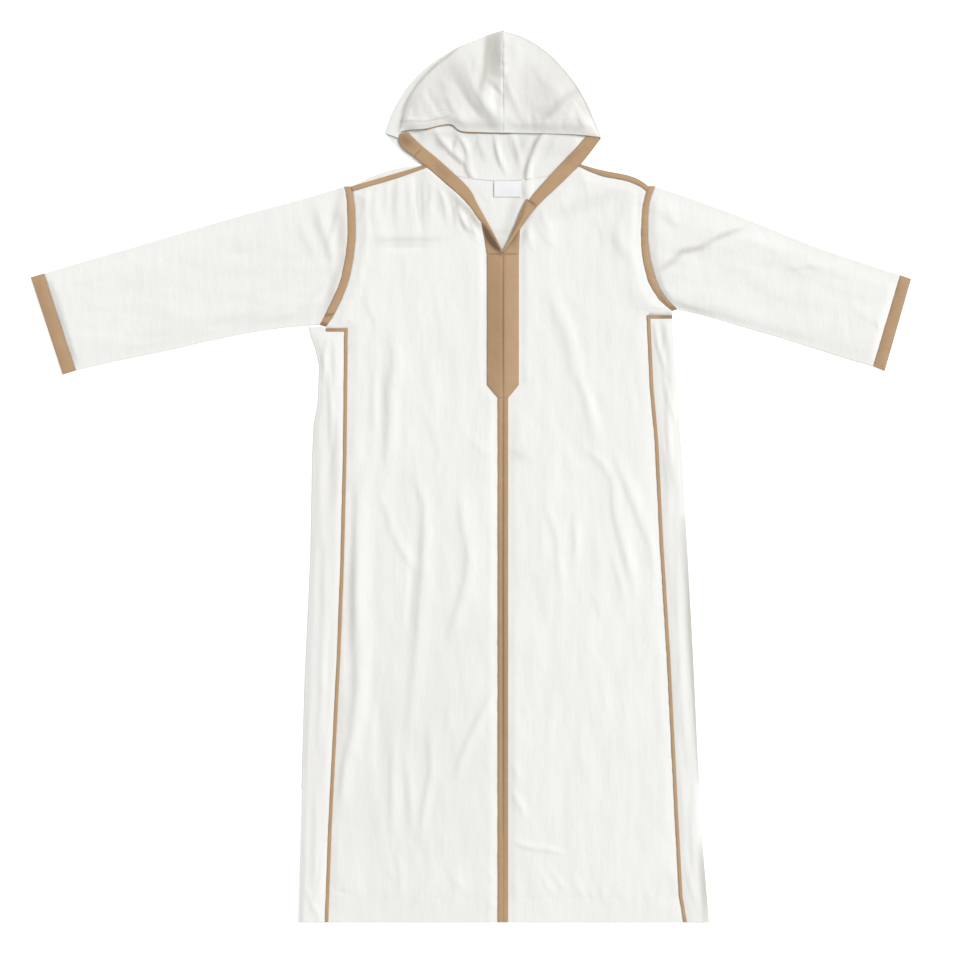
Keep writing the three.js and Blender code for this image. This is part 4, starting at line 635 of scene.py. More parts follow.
def make(name, grid, kept=None, rests_on=(), held="laid", **how):
    """A piece of cloth, with the node that it stands for and the size that it was cut to."""
    piece = cloth(name, grid, kept, **how)
    node = name.split("_", 1)[1]
    width, length, area = cut_size(grid, kept)
    width, length = max(width, NARROWEST), max(length, NARROWEST)
    area = min(area, width * length)
    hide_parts(node)
    SHEETS.append((node, width, length, area))
    print(f"{piece.name}: {len(piece.data.polygons)} faces")


def plan(side, out, y, z):
    """Places in the frame from "out", "y" and a height on one side."""
    out, y, z = np.broadcast_arrays(out, y, z)
    return np.stack([CENTRE_X + side["sign"] * out, HEM_Y + y, z], -1)


# %% Cloth in two layers
TURN_STEPS = 6  # how many steps a half round turn of cloth has


def half_turn(edge, beside, sweep=1):
    """A half round turn past an edge, away from the places beside it, down to the floor: in plan the edge
    plus radius * cos(angle), and up radius * (1 + sin(angle)), where the radius is half the edge's height."""
    radius = edge[:, 2, None] / 2
    away = edge[:, :2] - beside[:, :2]
    away = away / np.maximum(np.linalg.norm(away, axis=1), TINY)[:, None]
    angle = sweep * np.pi * (0.5 - np.arange(1, TURN_STEPS) / TURN_STEPS)
    in_plan = edge[:, None, :2] + away[:, None] * (radius * np.cos(angle))[..., None]
    return np.concatenate([in_plan, (radius * (1 + np.sin(angle)))[..., None]], -1)


def turned(front, both=False):
    """Cloth that lies in two layers: the front grid, a half round turn past its last column, and the same
    places back on the floor. With `both` it turns past its first column too and closes into a tube."""
    back = front[:, ::-1].copy()
    back[..., 2] = 0
    parts = [front, half_turn(front[:, -1], front[:, -2]), back]
    if both:
        parts += [half_turn(front[:, 0], front[:, 1], -1), front[:, :1]]
    return np.concatenate(parts, 1)


# %% [markdown]
# ## Finishes
#
# Cloth is matt because light enters its threads and leaves in all directions, and a little sheen stands
# for the loose fibres at its surface. The weave is bump on the UV map in metres, so a thread has the same
# width everywhere. Shader maths is written as plain sums: `Wire` turns them into Math nodes.


# %% Shader maths
class Wire:
    """The value of a socket. Sums and products of wires become Math nodes."""

    def __init__(self, finish, socket):
        self.finish = finish
        self.socket = socket

    def math(self, operation, *others):
        """One Math node, with this wire as its first value."""
        values = dict(enumerate((self, *others)))
        return self.finish.node("ShaderNodeMath", {"operation": operation}, values)

    def __add__(self, other):
        return self.math("ADD", other)

    def __mul__(self, other):
        return self.math("MULTIPLY", other)

    def __sub__(self, other):
        return self.math("SUBTRACT", other)

    def __rsub__(self, other):
        return self.math("MULTIPLY", -1.0).math("ADD", other)

    __radd__ = __add__
    __rmul__ = __mul__

    def sine(self):
        return self.math("SINE")


# %% A material and its nodes
class Finish:
    """A material whose nodes are added one at a time."""

    def __init__(self, name):
        self.material = bpy.data.materials.new(name)
        self.material.use_nodes = True
        self.tree = self.material.node_tree
        self.tree.nodes.clear()

    def node(self, kind, settings=None, values=None, output=0):
        """Adds a node: its settings first, then the values or the wires of its sockets."""
        node = self.tree.nodes.new(kind)
        for name, setting in (settings or {}).items():
            setattr(node, name, setting)
        for name, value in (values or {}).items():
            if isinstance(value, Wire):
                self.tree.links.new(value.socket, node.inputs[name])
            else:
                node.inputs[name].default_value = value
        return Wire(self, node.outputs[output])

    def mixed(self, share, first, second):
        """A colour between two others, each a wire or three numbers."""
        first, second = (colour if isinstance(colour, Wire) else (*colour, 1) for colour in (first, second))
        return self.node("ShaderNodeMix", {"data_type": "RGBA"}, {0: share, 6: first, 7: second}, output=2)

    def shaded(self, colour, dark):
        """A colour that goes towards a dark one where the piece has a shade."""
        shade = self.node("ShaderNodeAttribute", {"attribute_name": "shade"}, output=2)
        return self.mixed(shade, colour, dark)

    def noise(self, place, scale, detail=2.0):
        """Smooth noise from 0 to 1, with this many waves in a metre."""
        return self.node("ShaderNodeTexNoise", {}, {"Vector": place, "Scale": scale, "Detail": detail})

    def stretched(self, place, scale):
        """A place with each of its coordinates scaled, for patterns that are longer one way."""
        return self.node("ShaderNodeMapping", {}, {"Vector": place, "Scale": scale})

    def over_the_cloth(self):
        """The distances across and along the cloth, from its UV map."""
        uv = self.node("ShaderNodeUVMap", {"uv_map": "cut"})
        return [self.node("ShaderNodeSeparateXYZ", {}, {0: uv}, output=axis) for axis in (0, 1)]

    def threads(self, pitch):
        """Crossing threads on the UV map: sin(u) * sin(v), one wave for each two threads."""
        u, v = self.over_the_cloth()
        turn = 2 * np.pi / pitch
        return (u * turn).sine() * (v * turn).sine()

    def ribs(self, pitch, lean):
        """Slanted ribs on the UV map, as on twill: sin(u + lean * v)."""
        u, v = self.over_the_cloth()
        return ((u + v * lean) * (2 * np.pi / pitch)).sine()

    def bumped(self, height, distance, strength, normal=None):
        """A normal bent by heights, on top of another one if there is one."""
        values = {"Height": height, "Distance": distance, "Strength": strength}
        if normal is not None:
            values["Normal"] = normal
        return self.node("ShaderNodeBump", {}, values)

    def finished(self, colour, normal, roughness, sheen, glow=0.0):
        """The surface itself, wired to the output."""
        values = {"Base Color": colour, "Roughness": roughness, "Sheen Weight": sheen}
        if normal is not None:
            values["Normal"] = normal
        if glow > 0:
            values["Emission Color"] = (1, 1, 1, 1)
            values["Emission Strength"] = glow
        shader = self.node("ShaderNodeBsdfPrincipled", {}, values)
        output = self.tree.nodes.new("ShaderNodeOutputMaterial")
        self.tree.links.new(shader.socket, output.inputs["Surface"])
        return self.material


# %% The white cloth
THREAD = 0.5 * MM
CLOTH_COLOURS = ((0.800, 0.795, 0.765), (0.845, 0.842, 0.815))
CLOTH_SHADE = (0.530, 0.515, 0.475)
CRUMPLES = (60, 16, 60)  # waves in a metre each way: longer along the robe than across it
SMALL_CRUMPLES = (150, 110, 150)


def white_cloth():
    """Off-white plain weave: faint clouds in its colour, painted shade where a piece has a shade, and soft
    crumples mostly along its length.
    """
    finish = Finish("white_cloth")
    place = finish.node("ShaderNodeTexCoord", output=3)
    clouds = finish.noise(place, scale=9.0, detail=3.0)
    # painted shade and painted shadow: the shade attribute darkens the colour towards CLOTH_SHADE
    colour = finish.shaded(finish.mixed(clouds, *CLOTH_COLOURS), CLOTH_SHADE)
    crumples = finish.noise(finish.stretched(place, CRUMPLES), scale=1.0, detail=3.0)
    small = finish.noise(finish.stretched(place, SMALL_CRUMPLES), scale=1.0)
    soft = finish.bumped(crumples, distance=1.6 * MM, strength=0.55)
    fine = finish.bumped(small, distance=0.35 * MM, strength=0.5, normal=soft)
    woven = finish.bumped(finish.threads(2 * THREAD), distance=0.06 * MM, strength=0.5, normal=fine)
    return finish.finished(colour, woven, roughness=0.86, sheen=0.12)


# %% [markdown]
# ## The tape, the label and the floor
#
# The tape is a tan twill with a soft gloss. Its colour comes from two close tans, mixed by noise, so that
# the long bands aren't one flat colour.

# %% The tan tape, the label and the floor
TAN_COLOURS = ((0.420, 0.265, 0.142), (0.500, 0.325, 0.180))
TAN_SHADE = (0.130, 0.075, 0.036)
TAN_CRUMPLES = (90, 120, 90)
LABEL_COLOURS = ((0.80, 0.80, 0.815), (0.85, 0.85, 0.86))
LABEL_RIB = 0.6 * MM
FLOOR_COLOURS = ((0.955, 0.955, 0.955), (0.965, 0.965, 0.965))


def tan_twill():
    """Tan twill: slanted ribs, painted shade where a piece has a shade, and small wrinkles across it."""
    finish = Finish("tan_twill")
    place = finish.node("ShaderNodeTexCoord", output=3)
    clouds = finish.noise(place, scale=28.0, detail=3.0)
    # painted shade and painted shadow: the shade attribute darkens the tan towards TAN_SHADE
    colour = finish.shaded(finish.mixed(clouds, *TAN_COLOURS), TAN_SHADE)
    wrinkles = finish.noise(finish.stretched(place, TAN_CRUMPLES), scale=1.0)
    soft = finish.bumped(wrinkles, distance=0.5 * MM, strength=0.5)
    ribs = finish.ribs(2 * THREAD, lean=1.0)
    woven = finish.bumped(ribs, distance=0.06 * MM, strength=0.6, normal=soft)
    return finish.finished(colour, woven, roughness=0.62, sheen=0.10)


def woven_label():
    """Smooth white ribbon with fine ribs across it, and nothing on it."""
    finish = Finish("woven_label")
    place = finish.node("ShaderNodeTexCoord", output=3)
    colour = finish.mixed(finish.noise(place, scale=60.0), *LABEL_COLOURS)
    woven = finish.bumped(finish.ribs(LABEL_RIB, lean=0.0), distance=0.05 * MM, strength=0.6)
    return finish.finished(colour, woven, roughness=0.45, sheen=0.1)


def pale_floor():
    """A smooth pale floor with a hardly visible grain."""
    finish = Finish("pale_floor")
    place = finish.node("ShaderNodeTexCoord", output=3)
    colour = finish.mixed(finish.noise(place, scale=3.0), *FLOOR_COLOURS)
    return finish.finished(colour, None, roughness=0.9, sheen=0.0, glow=0.45)


FINISHES = {"cloth": white_cloth(), "trim": tan_twill(), "label": woven_label()}
FLOOR_FINISH = pale_floor()
print("finishes:", ", ".join(material.name for material in (*FINISHES.values(), FLOOR_FINISH)))

# %% [markdown]
# ## The front panels
#
# Each front runs from the centre line to the gore's seam and, above the underarm, to the armhole. Its top
# slants along the neck to the shoulder. One grid does it: the rows below the underarm end at the seam,
# and the columns past the seam are cut away there. Near its seams the cloth is held down and puckers.

# %% Edges that several pieces share
PANEL_STEP = 4 * MM
GROOVE = (0.9 * MM, 1.4 * MM)  # depth and width of the groove along a seam
PUCKER = {"depth": 0.55 * MM, "reach": 11 * MM}
LOWEST = -0.3 * MM  # how far a trough may go below the pressed cloth
CROWN = (0.83, 0.92)  # the share of the armhole over which a shoulder starts to bow
TAPE_FOOT = 11 / 12  # the share of the armhole at which the shoulder tape starts
TAPER_LENGTH = 0.4  # of the shoulder tape's length


def moved(start, end, distance):
    """The places of one line, moved a distance towards another line."""
    share = distance / np.maximum(np.hypot(end[0] - start[0], end[1] - start[1]), TINY)
    return start[0] + (end[0] - start[0]) * share, start[1] + (end[1] - start[1]) * share


def armhole(side, a, edge, back=0.0):
    """The body's or the sleeve's edge of the armhole band, moved back from the band."""
    rows = side["armhole"]
    body = smooth(rows["body_out"], a), smooth(rows["body_y"], a)
    sleeve = smooth(rows["sleeve_out"], a), smooth(rows["sleeve_y"], a)
    return moved(body, sleeve, -back) if edge == "body" else moved(sleeve, body, -back)


def neck_line(side, t, distance):
    """The outer edge of the neck band, moved a distance towards its inner edge."""
    rows = side["neck"]
    outer = smooth(rows["outer_out"], t), smooth(rows["outer_y"], t)
    inner = smooth(rows["inner_out"], t), smooth(rows["inner_y"], t)
    return moved(outer, inner, distance)


def seam_out(side, y):
    """The distance from the centre line to the gore's seam at a height."""
    return np.interp(y, side["seam"]["y"], side["seam"]["out"])


def bowed(side, t):
    """How far a shoulder bows up at a share from the neck: scale * t^power * (1 - t), 1 at its highest."""
    scale, power = side["bow"]
    return scale * t**power * (1 - t)


def upper_front(side, a, share):
    """The front above the underarm: straight from its inner edge to the armhole. The inner edge climbs the
    centre line to the point of the V, then follows the neck to the shoulder."""
    outer_out, outer_y = armhole(side, a, "body", HALF_GAP)
    foot_y = armhole(side, 0.0, "body", HALF_GAP)[1]
    middle_y = armhole(side, 0.5, "body", HALF_GAP)[1]
    neck_out, neck_y = neck_line(side, np.clip(2 * a - 1, 0, 1) * SHOULDER, -HALF_GAP)
    point_y = neck_line(side, 0.0, -HALF_GAP)[1]
    climb = foot_y + (point_y - foot_y) * (outer_y - foot_y) / (middle_y - foot_y)
    inner_out = np.where(a < 0.5, HALF_GAP, neck_out)
    inner_y = np.where(a < 0.5, climb, neck_y)
    crown = side["front_crown"] * smoothstep(a, *CROWN) * bowed(side, share)
    return inner_out + (outer_out - inner_out) * share, inner_y + (outer_y - inner_y) * share + crown


def front_outline(side):
    """The seams round a front, from the hem up the gore, round the armhole, over the shoulder to the V."""
    y = np.append(side["seam"]["y"][:-1], side["underarm"])
    around = armhole(side, np.linspace(0, 1, 13), "body")
    neck = neck_line(side, np.linspace(SHOULDER, 0, 9), 0.0)
    out = np.concatenate([seam_out(side, y), around[0], neck[0]])
    return out, np.concatenate([y, around[1], neck[1]])


def tape_foot(side, share):
    """The lower edge of the shoulder tape, which is narrower at the neck."""
    foot, top = (upper_front(side, 0 * share + a, share) for a in (TAPE_FOOT, 1))
    taper = side["tape_taper"] * np.clip(1 - share / TAPER_LENGTH, 0, 1)
    return tuple(foot[axis] + (top[axis] - foot[axis]) * taper for axis in (0, 1))


# %% The lie of the front layer
FRONT_PUFF = 1.8 * MM
SEAM_RAMP = (1 * MM, 22 * MM)  # where folds start beside a seam, and where they are whole
TRIM_RAMP = (-1 * MM, 16 * MM)  # the same beside the tapes at the centre
GATHER_RAMP = (0.5 * MM, 9 * MM)  # the gathers start nearer to the seams
GATHER_TRIM_RAMP = (-1 * MM, 10 * MM)
UNDER_TAPE_RAMP = (0.5 * MM, 7 * MM)
HEM_RAMP = (0, 70 * MM)
HEM_SHARE = 0.35  # how much of the folds is left at the hem
TRIM_PUCKER = 3 * MM  # how far from the tapes the puckers are highest
HEM_WAVE_REACH = 14 * MM
HEM_DIP = (0.25 * MM, 2.5 * MM)
SPINE_RISE = 1.5 * MM
SPINE_HALF = 34 * MM
SPINE_RAMP = (900 * MM, 1000 * MM)


def trim_edge(y):
    """How far the tapes at the centre reach: the centre band below, the placket above its point."""
    return np.interp(y, [CENTRE_TOP, PLACKET_LOW], [CENTRE_HALF, PLACKET_HALF])


def spine(out, y):
    """The front stands a little higher along its centre, so the two halves of the placket lean apart."""
    return SPINE_RISE * smoothstep(y, *SPINE_RAMP) * np.clip(1 - (out / SPINE_HALF) ** 2, 0, 1)


def front_height(side, out, y):
    """The top of a front: pressed at its seams, puffed and folded between them, puckered beside them."""
    under_tape = tape_foot(side, np.linspace(0, 1, 9))
    away = np.minimum(distance_to(*front_outline(side), out, y), distance_to(*under_tape, out, y))
    beside_trim = out - trim_edge(y)
    at_hem = HEM_SHARE + (1 - HEM_SHARE) * smoothstep(y, *HEM_RAMP)
    calm = smoothstep(away, *SEAM_RAMP) * smoothstep(beside_trim, *TRIM_RAMP) * at_hem
    below_tape = smoothstep(np.interp(out, *under_tape) - y, *UNDER_TAPE_RAMP)
    gathered = smoothstep(away, *GATHER_RAMP) * smoothstep(beside_trim, *GATHER_TRIM_RAMP) * below_tape
    x = CENTRE_X + side["sign"] * out
    folds = fold_lift(FOLDS["front_" + side["name"]], out, y, side["sign"])
    gathers = fold_lift(FOLDS["gathers_" + side["name"]], out, y, side["sign"])
    lift = FRONT_PUFF * (1 + hills(x, y, "front_puff")) + folds
    lift = lift + hills(x, y, "front_swell") + hills(x, y, "front_small")
    pucker = hills(x, y, "front_pucker") * np.exp(-away / PUCKER["reach"])
    near_trim = np.exp(-np.abs(beside_trim - TRIM_PUCKER) / PUCKER["reach"])
    pucker = PUCKER["depth"] * (pucker + hills(x, y, "trim_pucker") * near_trim)
    hem = hills(x, y, "hem") * np.exp(-np.abs(y - HEM_TURN) / HEM_WAVE_REACH) - dip(y - HEM_TURN, *HEM_DIP)
    lifted = np.maximum(calm * lift + gathered * gathers + pucker + hem, LOWEST)
    return lay(x, y) + spine(out, y) + lifted - dip(away, *GROOVE)


# %% The front panels
FANNED = 640 * MM  # the armhole is 290 mm long, but its rows lie twice as far apart at the neck


def front_panel(side):
    """One front: its plan places, which of its faces are kept, and its heights."""
    top = side["underarm"] + HALF_GAP
    y_low = top * spaced(top, PANEL_STEP)
    seam = seam_out(side, y_low) - HALF_GAP
    shares = spaced(seam[-1], PANEL_STEP)
    corner = side["corner"] - HALF_GAP
    extra = seam[-1] + (corner - seam[-1]) * spaced(corner - seam[-1], PANEL_STEP)[1:]
    out_low = HALF_GAP + (seam - HALF_GAP)[:, None] * shares
    out_low = np.concatenate([out_low, np.broadcast_to(extra, (len(y_low), len(extra)))], 1)
    share = (out_low[-1] - HALF_GAP) / (corner - HALF_GAP)
    a = spaced(FANNED, PANEL_STEP)[:, None]
    out_high, y_high = upper_front(side, a, share[None, :])
    out = np.concatenate([out_low, out_high])
    y = np.concatenate([np.broadcast_to(y_low[:, None], out_low.shape), y_high])
    kept = np.ones((out.shape[0] - 1, out.shape[1] - 1), bool)
    kept[: len(y_low) - 1, len(shares) - 1:] = False
    return plan(side, out, y, front_height(side, out, y)), kept


for side in SIDES:
    make("cloth_front_" + side["name"], *front_panel(side), rests_on=["back_panel"])

# %% [markdown]
# ## The back
#
# The back lies on the floor under everything else. It shows in the neck, past the shoulders, and from
# below. A Coons patch fills the part above the underarm: it blends the centre line, the armhole, the
# line across the underarms and the neck with the shoulder into one smooth grid.


# %% The back panel
NECK_SHARE = 0.55  # the share of the columns of the back that end at the neckline


def patch(start, end, low, high, t, s):
    """A Coons patch: the two ruled surfaces between opposite edges, less the one through its corners."""
    t, s = np.broadcast_arrays(t, s)
    found = []
    for axis in (0, 1):
        ruled = start(s)[axis] * (1 - t) + end(s)[axis] * t + low(t)[axis] * (1 - s) + high(t)[axis] * s
        near = start(0 * s)[axis] * (1 - s) + start(0 * s + 1)[axis] * s
        far = end(0 * s)[axis] * (1 - s) + end(0 * s + 1)[axis] * s
        found.append(ruled - near * (1 - t) - far * t)
    return found


# %% The top of the back
def back_neck(side, t, raised=0.0):
    """The back neckline, from the centre to the neck end of the shoulder, as a parabola."""
    end_out, end_y = (smooth(side["neck"][column], SHOULDER) for column in ("outer_out", "outer_y"))
    return end_out * t, NECK_LOW + (end_y - NECK_LOW) * t * t + raised


def shoulder_and_neck(side, share):
    """The top of the back from the centre: the neckline, then the shoulder with its bow."""
    neck_end = back_neck(side, 1.0, -HALF_GAP)
    tip = armhole(side, 1.0, "body", HALF_GAP)
    t = np.clip(share / NECK_SHARE, 0, 1)
    s = np.clip((share - NECK_SHARE) / (1 - NECK_SHARE), 0, 1)
    neck = back_neck(side, t, -HALF_GAP)
    bow = side["back_crown"] * bowed(side, s)
    shoulder = neck_end[0] + (tip[0] - neck_end[0]) * s, neck_end[1] + (tip[1] - neck_end[1]) * s + bow
    return tuple(np.where(share < NECK_SHARE, neck[axis], shoulder[axis]) for axis in (0, 1))


# %% Half of the back
BACK_STEP = 8 * MM
PAST_SEAM = 6  # columns between the gore's seam and the corner under the arm
ARMHOLE_HEIGHT = 270 * MM
MEAN_UNDERARM = (LEFT["underarm"] + RIGHT["underarm"]) / 2


def back_half(side):
    """The plan of half the back. Its rows start at the same heights on the centre line on both sides."""
    shares_y = spaced(MEAN_UNDERARM, BACK_STEP)[:, None]
    top = side["underarm"] + HALF_GAP
    corner = side["corner"] - HALF_GAP
    seam_top = seam_out(side, top) - HALF_GAP
    u = spaced(seam_top, BACK_STEP)
    past = seam_top + (corner - seam_top) * np.arange(1, PAST_SEAM + 1) / PAST_SEAM
    out_low = u * (seam_out(side, shares_y * top) - HALF_GAP)
    y_low = shares_y * (MEAN_UNDERARM + (top - MEAN_UNDERARM) * u)
    out_low = np.concatenate([out_low, np.broadcast_to(past, (len(shares_y), PAST_SEAM))], 1)
    y_low = np.concatenate([y_low, np.broadcast_to(shares_y * top, (len(shares_y), PAST_SEAM))], 1)
    share = out_low[-1] / corner
    centre = lambda s: (0 * s, MEAN_UNDERARM + (NECK_LOW - HALF_GAP - MEAN_UNDERARM) * s)
    outer = lambda s: armhole(side, s, "body", HALF_GAP)
    foot = outer(0.0)
    low = lambda t: (foot[0] * t, MEAN_UNDERARM + (foot[1] - MEAN_UNDERARM) * t)
    high = lambda t: shoulder_and_neck(side, t)
    s = spaced(ARMHOLE_HEIGHT, BACK_STEP)[1:, None]
    out_high, y_high = patch(centre, outer, low, high, share[None, :], s)
    kept = np.ones((len(out_low) + len(out_high) - 1, len(share) - 1), bool)
    kept[: len(out_low) - 1, len(u) - 1:] = False
    return np.concatenate([out_low, out_high]), np.concatenate([y_low, y_high]), kept


# %% The creases at the neck, and the whole back
EDGE_HANG = 5.2 * MM  # how high the inside of the hood stands under its front edge
EDGE_RISE = (1405 * MM, 1462 * MM)  # where it rises, going up
EDGE_FALL = (1480 * MM, 1510 * MM)
EDGE_SIDE = (125 * MM, 165 * MM)  # where it falls, going out


def inside_lift(x, y):
    """The creases at the back of the neck and in the hood, and the rise of the inside to the front edge."""
    folds = fold_lift(FOLDS["inside"], x - CENTRE_X, y, 1)
    rise = EDGE_HANG * smoothstep(y, *EDGE_RISE) * (1 - smoothstep(y, *EDGE_FALL))
    beside = 1 - smoothstep(np.abs(x - CENTRE_X), *EDGE_SIDE)
    return np.maximum(folds + hills(x, y, "inside") + rise * beside, 0)


def back_panel():
    """Both halves of the back in one grid, which share the column on the centre line."""
    halves = []
    for side in SIDES:
        out, y, kept = back_half(side)
        grid = plan(side, out, y, inside_lift(CENTRE_X + side["sign"] * out, y))
        halves.append((grid, kept))
    (left, kept_left), (right, kept_right) = halves
    grid = np.concatenate([left[:, ::-1], right[:, 1:]], 1)
    return grid, np.concatenate([kept_left[:, ::-1], kept_right], 1)


make("cloth_back_panel", *back_panel(), rests_on=["floor"], top_first=False)

# %% [markdown]
# ## The gores
#
# A gore widens the robe at its side. It starts at the front seam, turns round the side and ends at the
# back seam, so it is one grid with a half round turn in it. Below the slit the turn is cut open.

# %% Gores
GORE_PUFF = 1.4 * MM
GORE_WIDTH = 60 * MM
GORE_SEAM_RAMP = (1 * MM, 14 * MM)
GORE_SIDE_RAMP = (0, 9 * MM)
GORE_TOP_RAMP = (2 * MM, 18 * MM)
CORNER_RAMP = (0.5 * MM, 3.3 * MM)  # past the corner of the front, the left gore reaches a little higher
CORNER_HEIGHT = 14 * MM


def gore(side):
    """A gore: a front strip from the seam to the side, a turn, and the same strip back on the floor."""
    top = side["underarm"] - HALF_GAP
    y = (top * spaced(top, PANEL_STEP))[:, None]
    share = spaced(GORE_WIDTH, PANEL_STEP)[None, :]
    start = seam_out(side, y) + HALF_GAP
    end = np.interp(y, side["edge"]["y"], side["edge"]["out"]) - FLAT_TOP / 2
    out = start + (end - start) * share
    past_corner = smoothstep(out - side["corner"], *CORNER_RAMP)
    rise = side["gore_rise"] * past_corner * smoothstep(y, top - CORNER_HEIGHT, top)
    x = CENTRE_X + side["sign"] * out
    calm = smoothstep(out - start, *GORE_SEAM_RAMP) * smoothstep(end - out, *GORE_SIDE_RAMP)
    calm = calm * smoothstep(top - y, *GORE_TOP_RAMP)
    folds = fold_lift(FOLDS["gore_" + side["name"]], out, y, side["sign"])
    lift = GORE_PUFF * (1 + hills(x, y, "gore_puff")) + folds + hills(x, y, "gore_small")
    z = lay(x, y) + np.maximum(calm * lift, LOWEST) - dip(out - start, *GROOVE)
    front = plan(side, out, y + rise, z)
    grid = turned(front)
    kept = np.ones((grid.shape[0] - 1, grid.shape[1] - 1), bool)
    turn_start = front.shape[1] - 1
    kept[y[1:, 0] < SLIT_TOP, turn_start: turn_start + TURN_STEPS] = False
    return grid, kept


for side in SIDES:
    make("cloth_gore_" + side["name"], *gore(side), rests_on=["floor"], held="folded")

# %% [markdown]
# ## Sleeves, armhole bands and cuffs
#
# These three are tubes that lie flat. Each has a front grid between its two folded edges, and `turned`
# closes it round both of them. The sleeve starts on the curved edge of the armhole band and ends on the
# straight edge of the cuff, so its front is a Coons patch again.

# %% Sleeves
SLEEVE_PUFF = 2.6 * MM
SLEEVE_WIDTH = 220 * MM
SLEEVE_INSIDE = 215 * MM  # its width inside its two round edges
SLEEVE_CUFF_RAMP = (1 * MM, 20 * MM)
SLEEVE_EDGE_RAMP = (0, 40 * MM)
SLEEVE_PUCKER_RAMP = (0, 5 * MM)


def by_length(place, count=400):
    """A line's own share for each share of its length."""
    shares = np.linspace(0, 1, count)
    out, y = place(shares)
    walked = np.concatenate([[0], np.cumsum(np.hypot(np.diff(out), np.diff(y)))])
    return lambda s: np.interp(s, walked / walked[-1], shares)


def inset(share, width, radius):
    """Shares across a tube, kept clear of the radius of its two round edges."""
    return (radius + share * (width - 2 * radius)) / width


def sleeve(side):
    """A sleeve: a Coons patch between the armhole band, the cuff and two folded edges, closed into a tube."""
    rows = side["sleeve"]
    ends = {"low": (rows["low_out"][-1], rows["low_y"][-1]), "top": (rows["top_out"][-1], rows["top_y"][-1])}
    seam_edge = lambda a: armhole(side, a, "sleeve", HALF_GAP)
    to_share = by_length(seam_edge)
    start = lambda s: seam_edge(to_share(s))
    end = lambda s: tuple(ends["low"][axis] + (ends["top"][axis] - ends["low"][axis]) * s for axis in (0, 1))

    def edge(which, corner):
        """A folded edge of the table, moved at its start so that it meets the armhole band."""
        columns = rows[which + "_out"], rows[which + "_y"]
        offset = [start(corner)[axis] - columns[axis][0] for axis in (0, 1)]
        return lambda t: tuple(smooth(columns[axis], t) + offset[axis] * (1 - t) for axis in (0, 1))

    length = np.hypot(ends["top"][0] - rows["top_out"][0], ends["top"][1] - rows["top_y"][0])
    t = spaced(length, PANEL_STEP)[:, None]
    share = spaced(SLEEVE_WIDTH, PANEL_STEP)[None, :]
    s = inset(share, SLEEVE_INSIDE, FLAT_TOP / 2)
    out, y = patch(start, end, edge("low", 0.0), edge("top", 1.0), t, s)
    x = CENTRE_X + side["sign"] * out
    across = np.minimum(share, 1 - share) * SLEEVE_WIDTH
    from_seam = np.minimum(t, 1 - t) * length
    calm = smoothstep(t * length, *SEAM_RAMP) * smoothstep((1 - t) * length, *SLEEVE_CUFF_RAMP)
    calm = calm * smoothstep(across, *SLEEVE_EDGE_RAMP)
    folds = fold_lift(FOLDS["sleeve_" + side["name"]], out, y, side["sign"])
    lift = SLEEVE_PUFF * (1 + hills(x, y, "sleeve_puff")) + folds
    lift = lift + hills(x, y, "sleeve_swell") + hills(x, y, "sleeve_small")
    pucker = PUCKER["depth"] * hills(x, y, "sleeve_pucker") * np.exp(-from_seam / PUCKER["reach"])
    lifted = np.maximum(calm * lift + pucker * smoothstep(across, *SLEEVE_PUCKER_RAMP), LOWEST)
    return turned(plan(side, out, y, FLAT_TOP + lifted - dip(from_seam, *GROOVE)), both=True)


for side in SIDES:
    make("cloth_sleeve_" + side["name"], sleeve(side), rests_on=["floor"], held="folded")

# %% Armhole bands
BAND_STEP = 3 * MM
ARMHOLE_LENGTH = 280 * MM
BAND_WIDTH = 15 * MM
BAND_ARCH = 0.5 * MM
BAND_CALM = (0, 8 * MM)  # from the band's ends
BAND_STITCH_IN = 1.6 * MM  # how far inside its rims the band is sewn
BAND_STITCH = (0.25 * MM, 0.8 * MM)


def armhole_band(side):
    """A band round the armhole: across it in rows, along the armhole in columns, and round both ends."""
    to_share = by_length(lambda a: armhole(side, a, "body"))
    share = spaced(ARMHOLE_LENGTH, BAND_STEP)[None, :]
    a = to_share(inset(share, ARMHOLE_LENGTH, BAND_TOP / 2))
    t = spaced(BAND_WIDTH, BAND_STEP)[:, None]
    body, edge = armhole(side, a, "body", -HALF_GAP), armhole(side, a, "sleeve", -HALF_GAP)
    out, y = (body[axis] + (edge[axis] - body[axis]) * t for axis in (0, 1))
    x = CENTRE_X + side["sign"] * out
    calm = smoothstep(np.minimum(share, 1 - share) * ARMHOLE_LENGTH, *BAND_CALM)
    wrinkles = hills(x, y, "band_wrinkle") + hills(x, y, "band_crumple")
    stitched = dip(np.minimum(t, 1 - t) * BAND_WIDTH - BAND_STITCH_IN, *BAND_STITCH)
    z = BAND_TOP + calm * (BAND_ARCH * arch(t) + wrinkles - stitched)
    return turned(plan(side, out, y, z), both=True)

# %% [markdown]
# The cuff is a short tan tube sewn to the end of the sleeve. It could be a second colour on the sleeve,
# but as a piece of its own it stands a little proud and keeps its own row of stitches.

# %% Cuffs
CUFF_ACROSS = 190 * MM
CUFF_INSIDE = 188 * MM
CUFF_LENGTH = 25 * MM
CUFF_ARCH = 0.9 * MM
CUFF_CALM = (0, 10 * MM)
CUFF_STITCH_IN = 2 * MM
CUFF_STITCH = (0.3 * MM, 0.9 * MM)


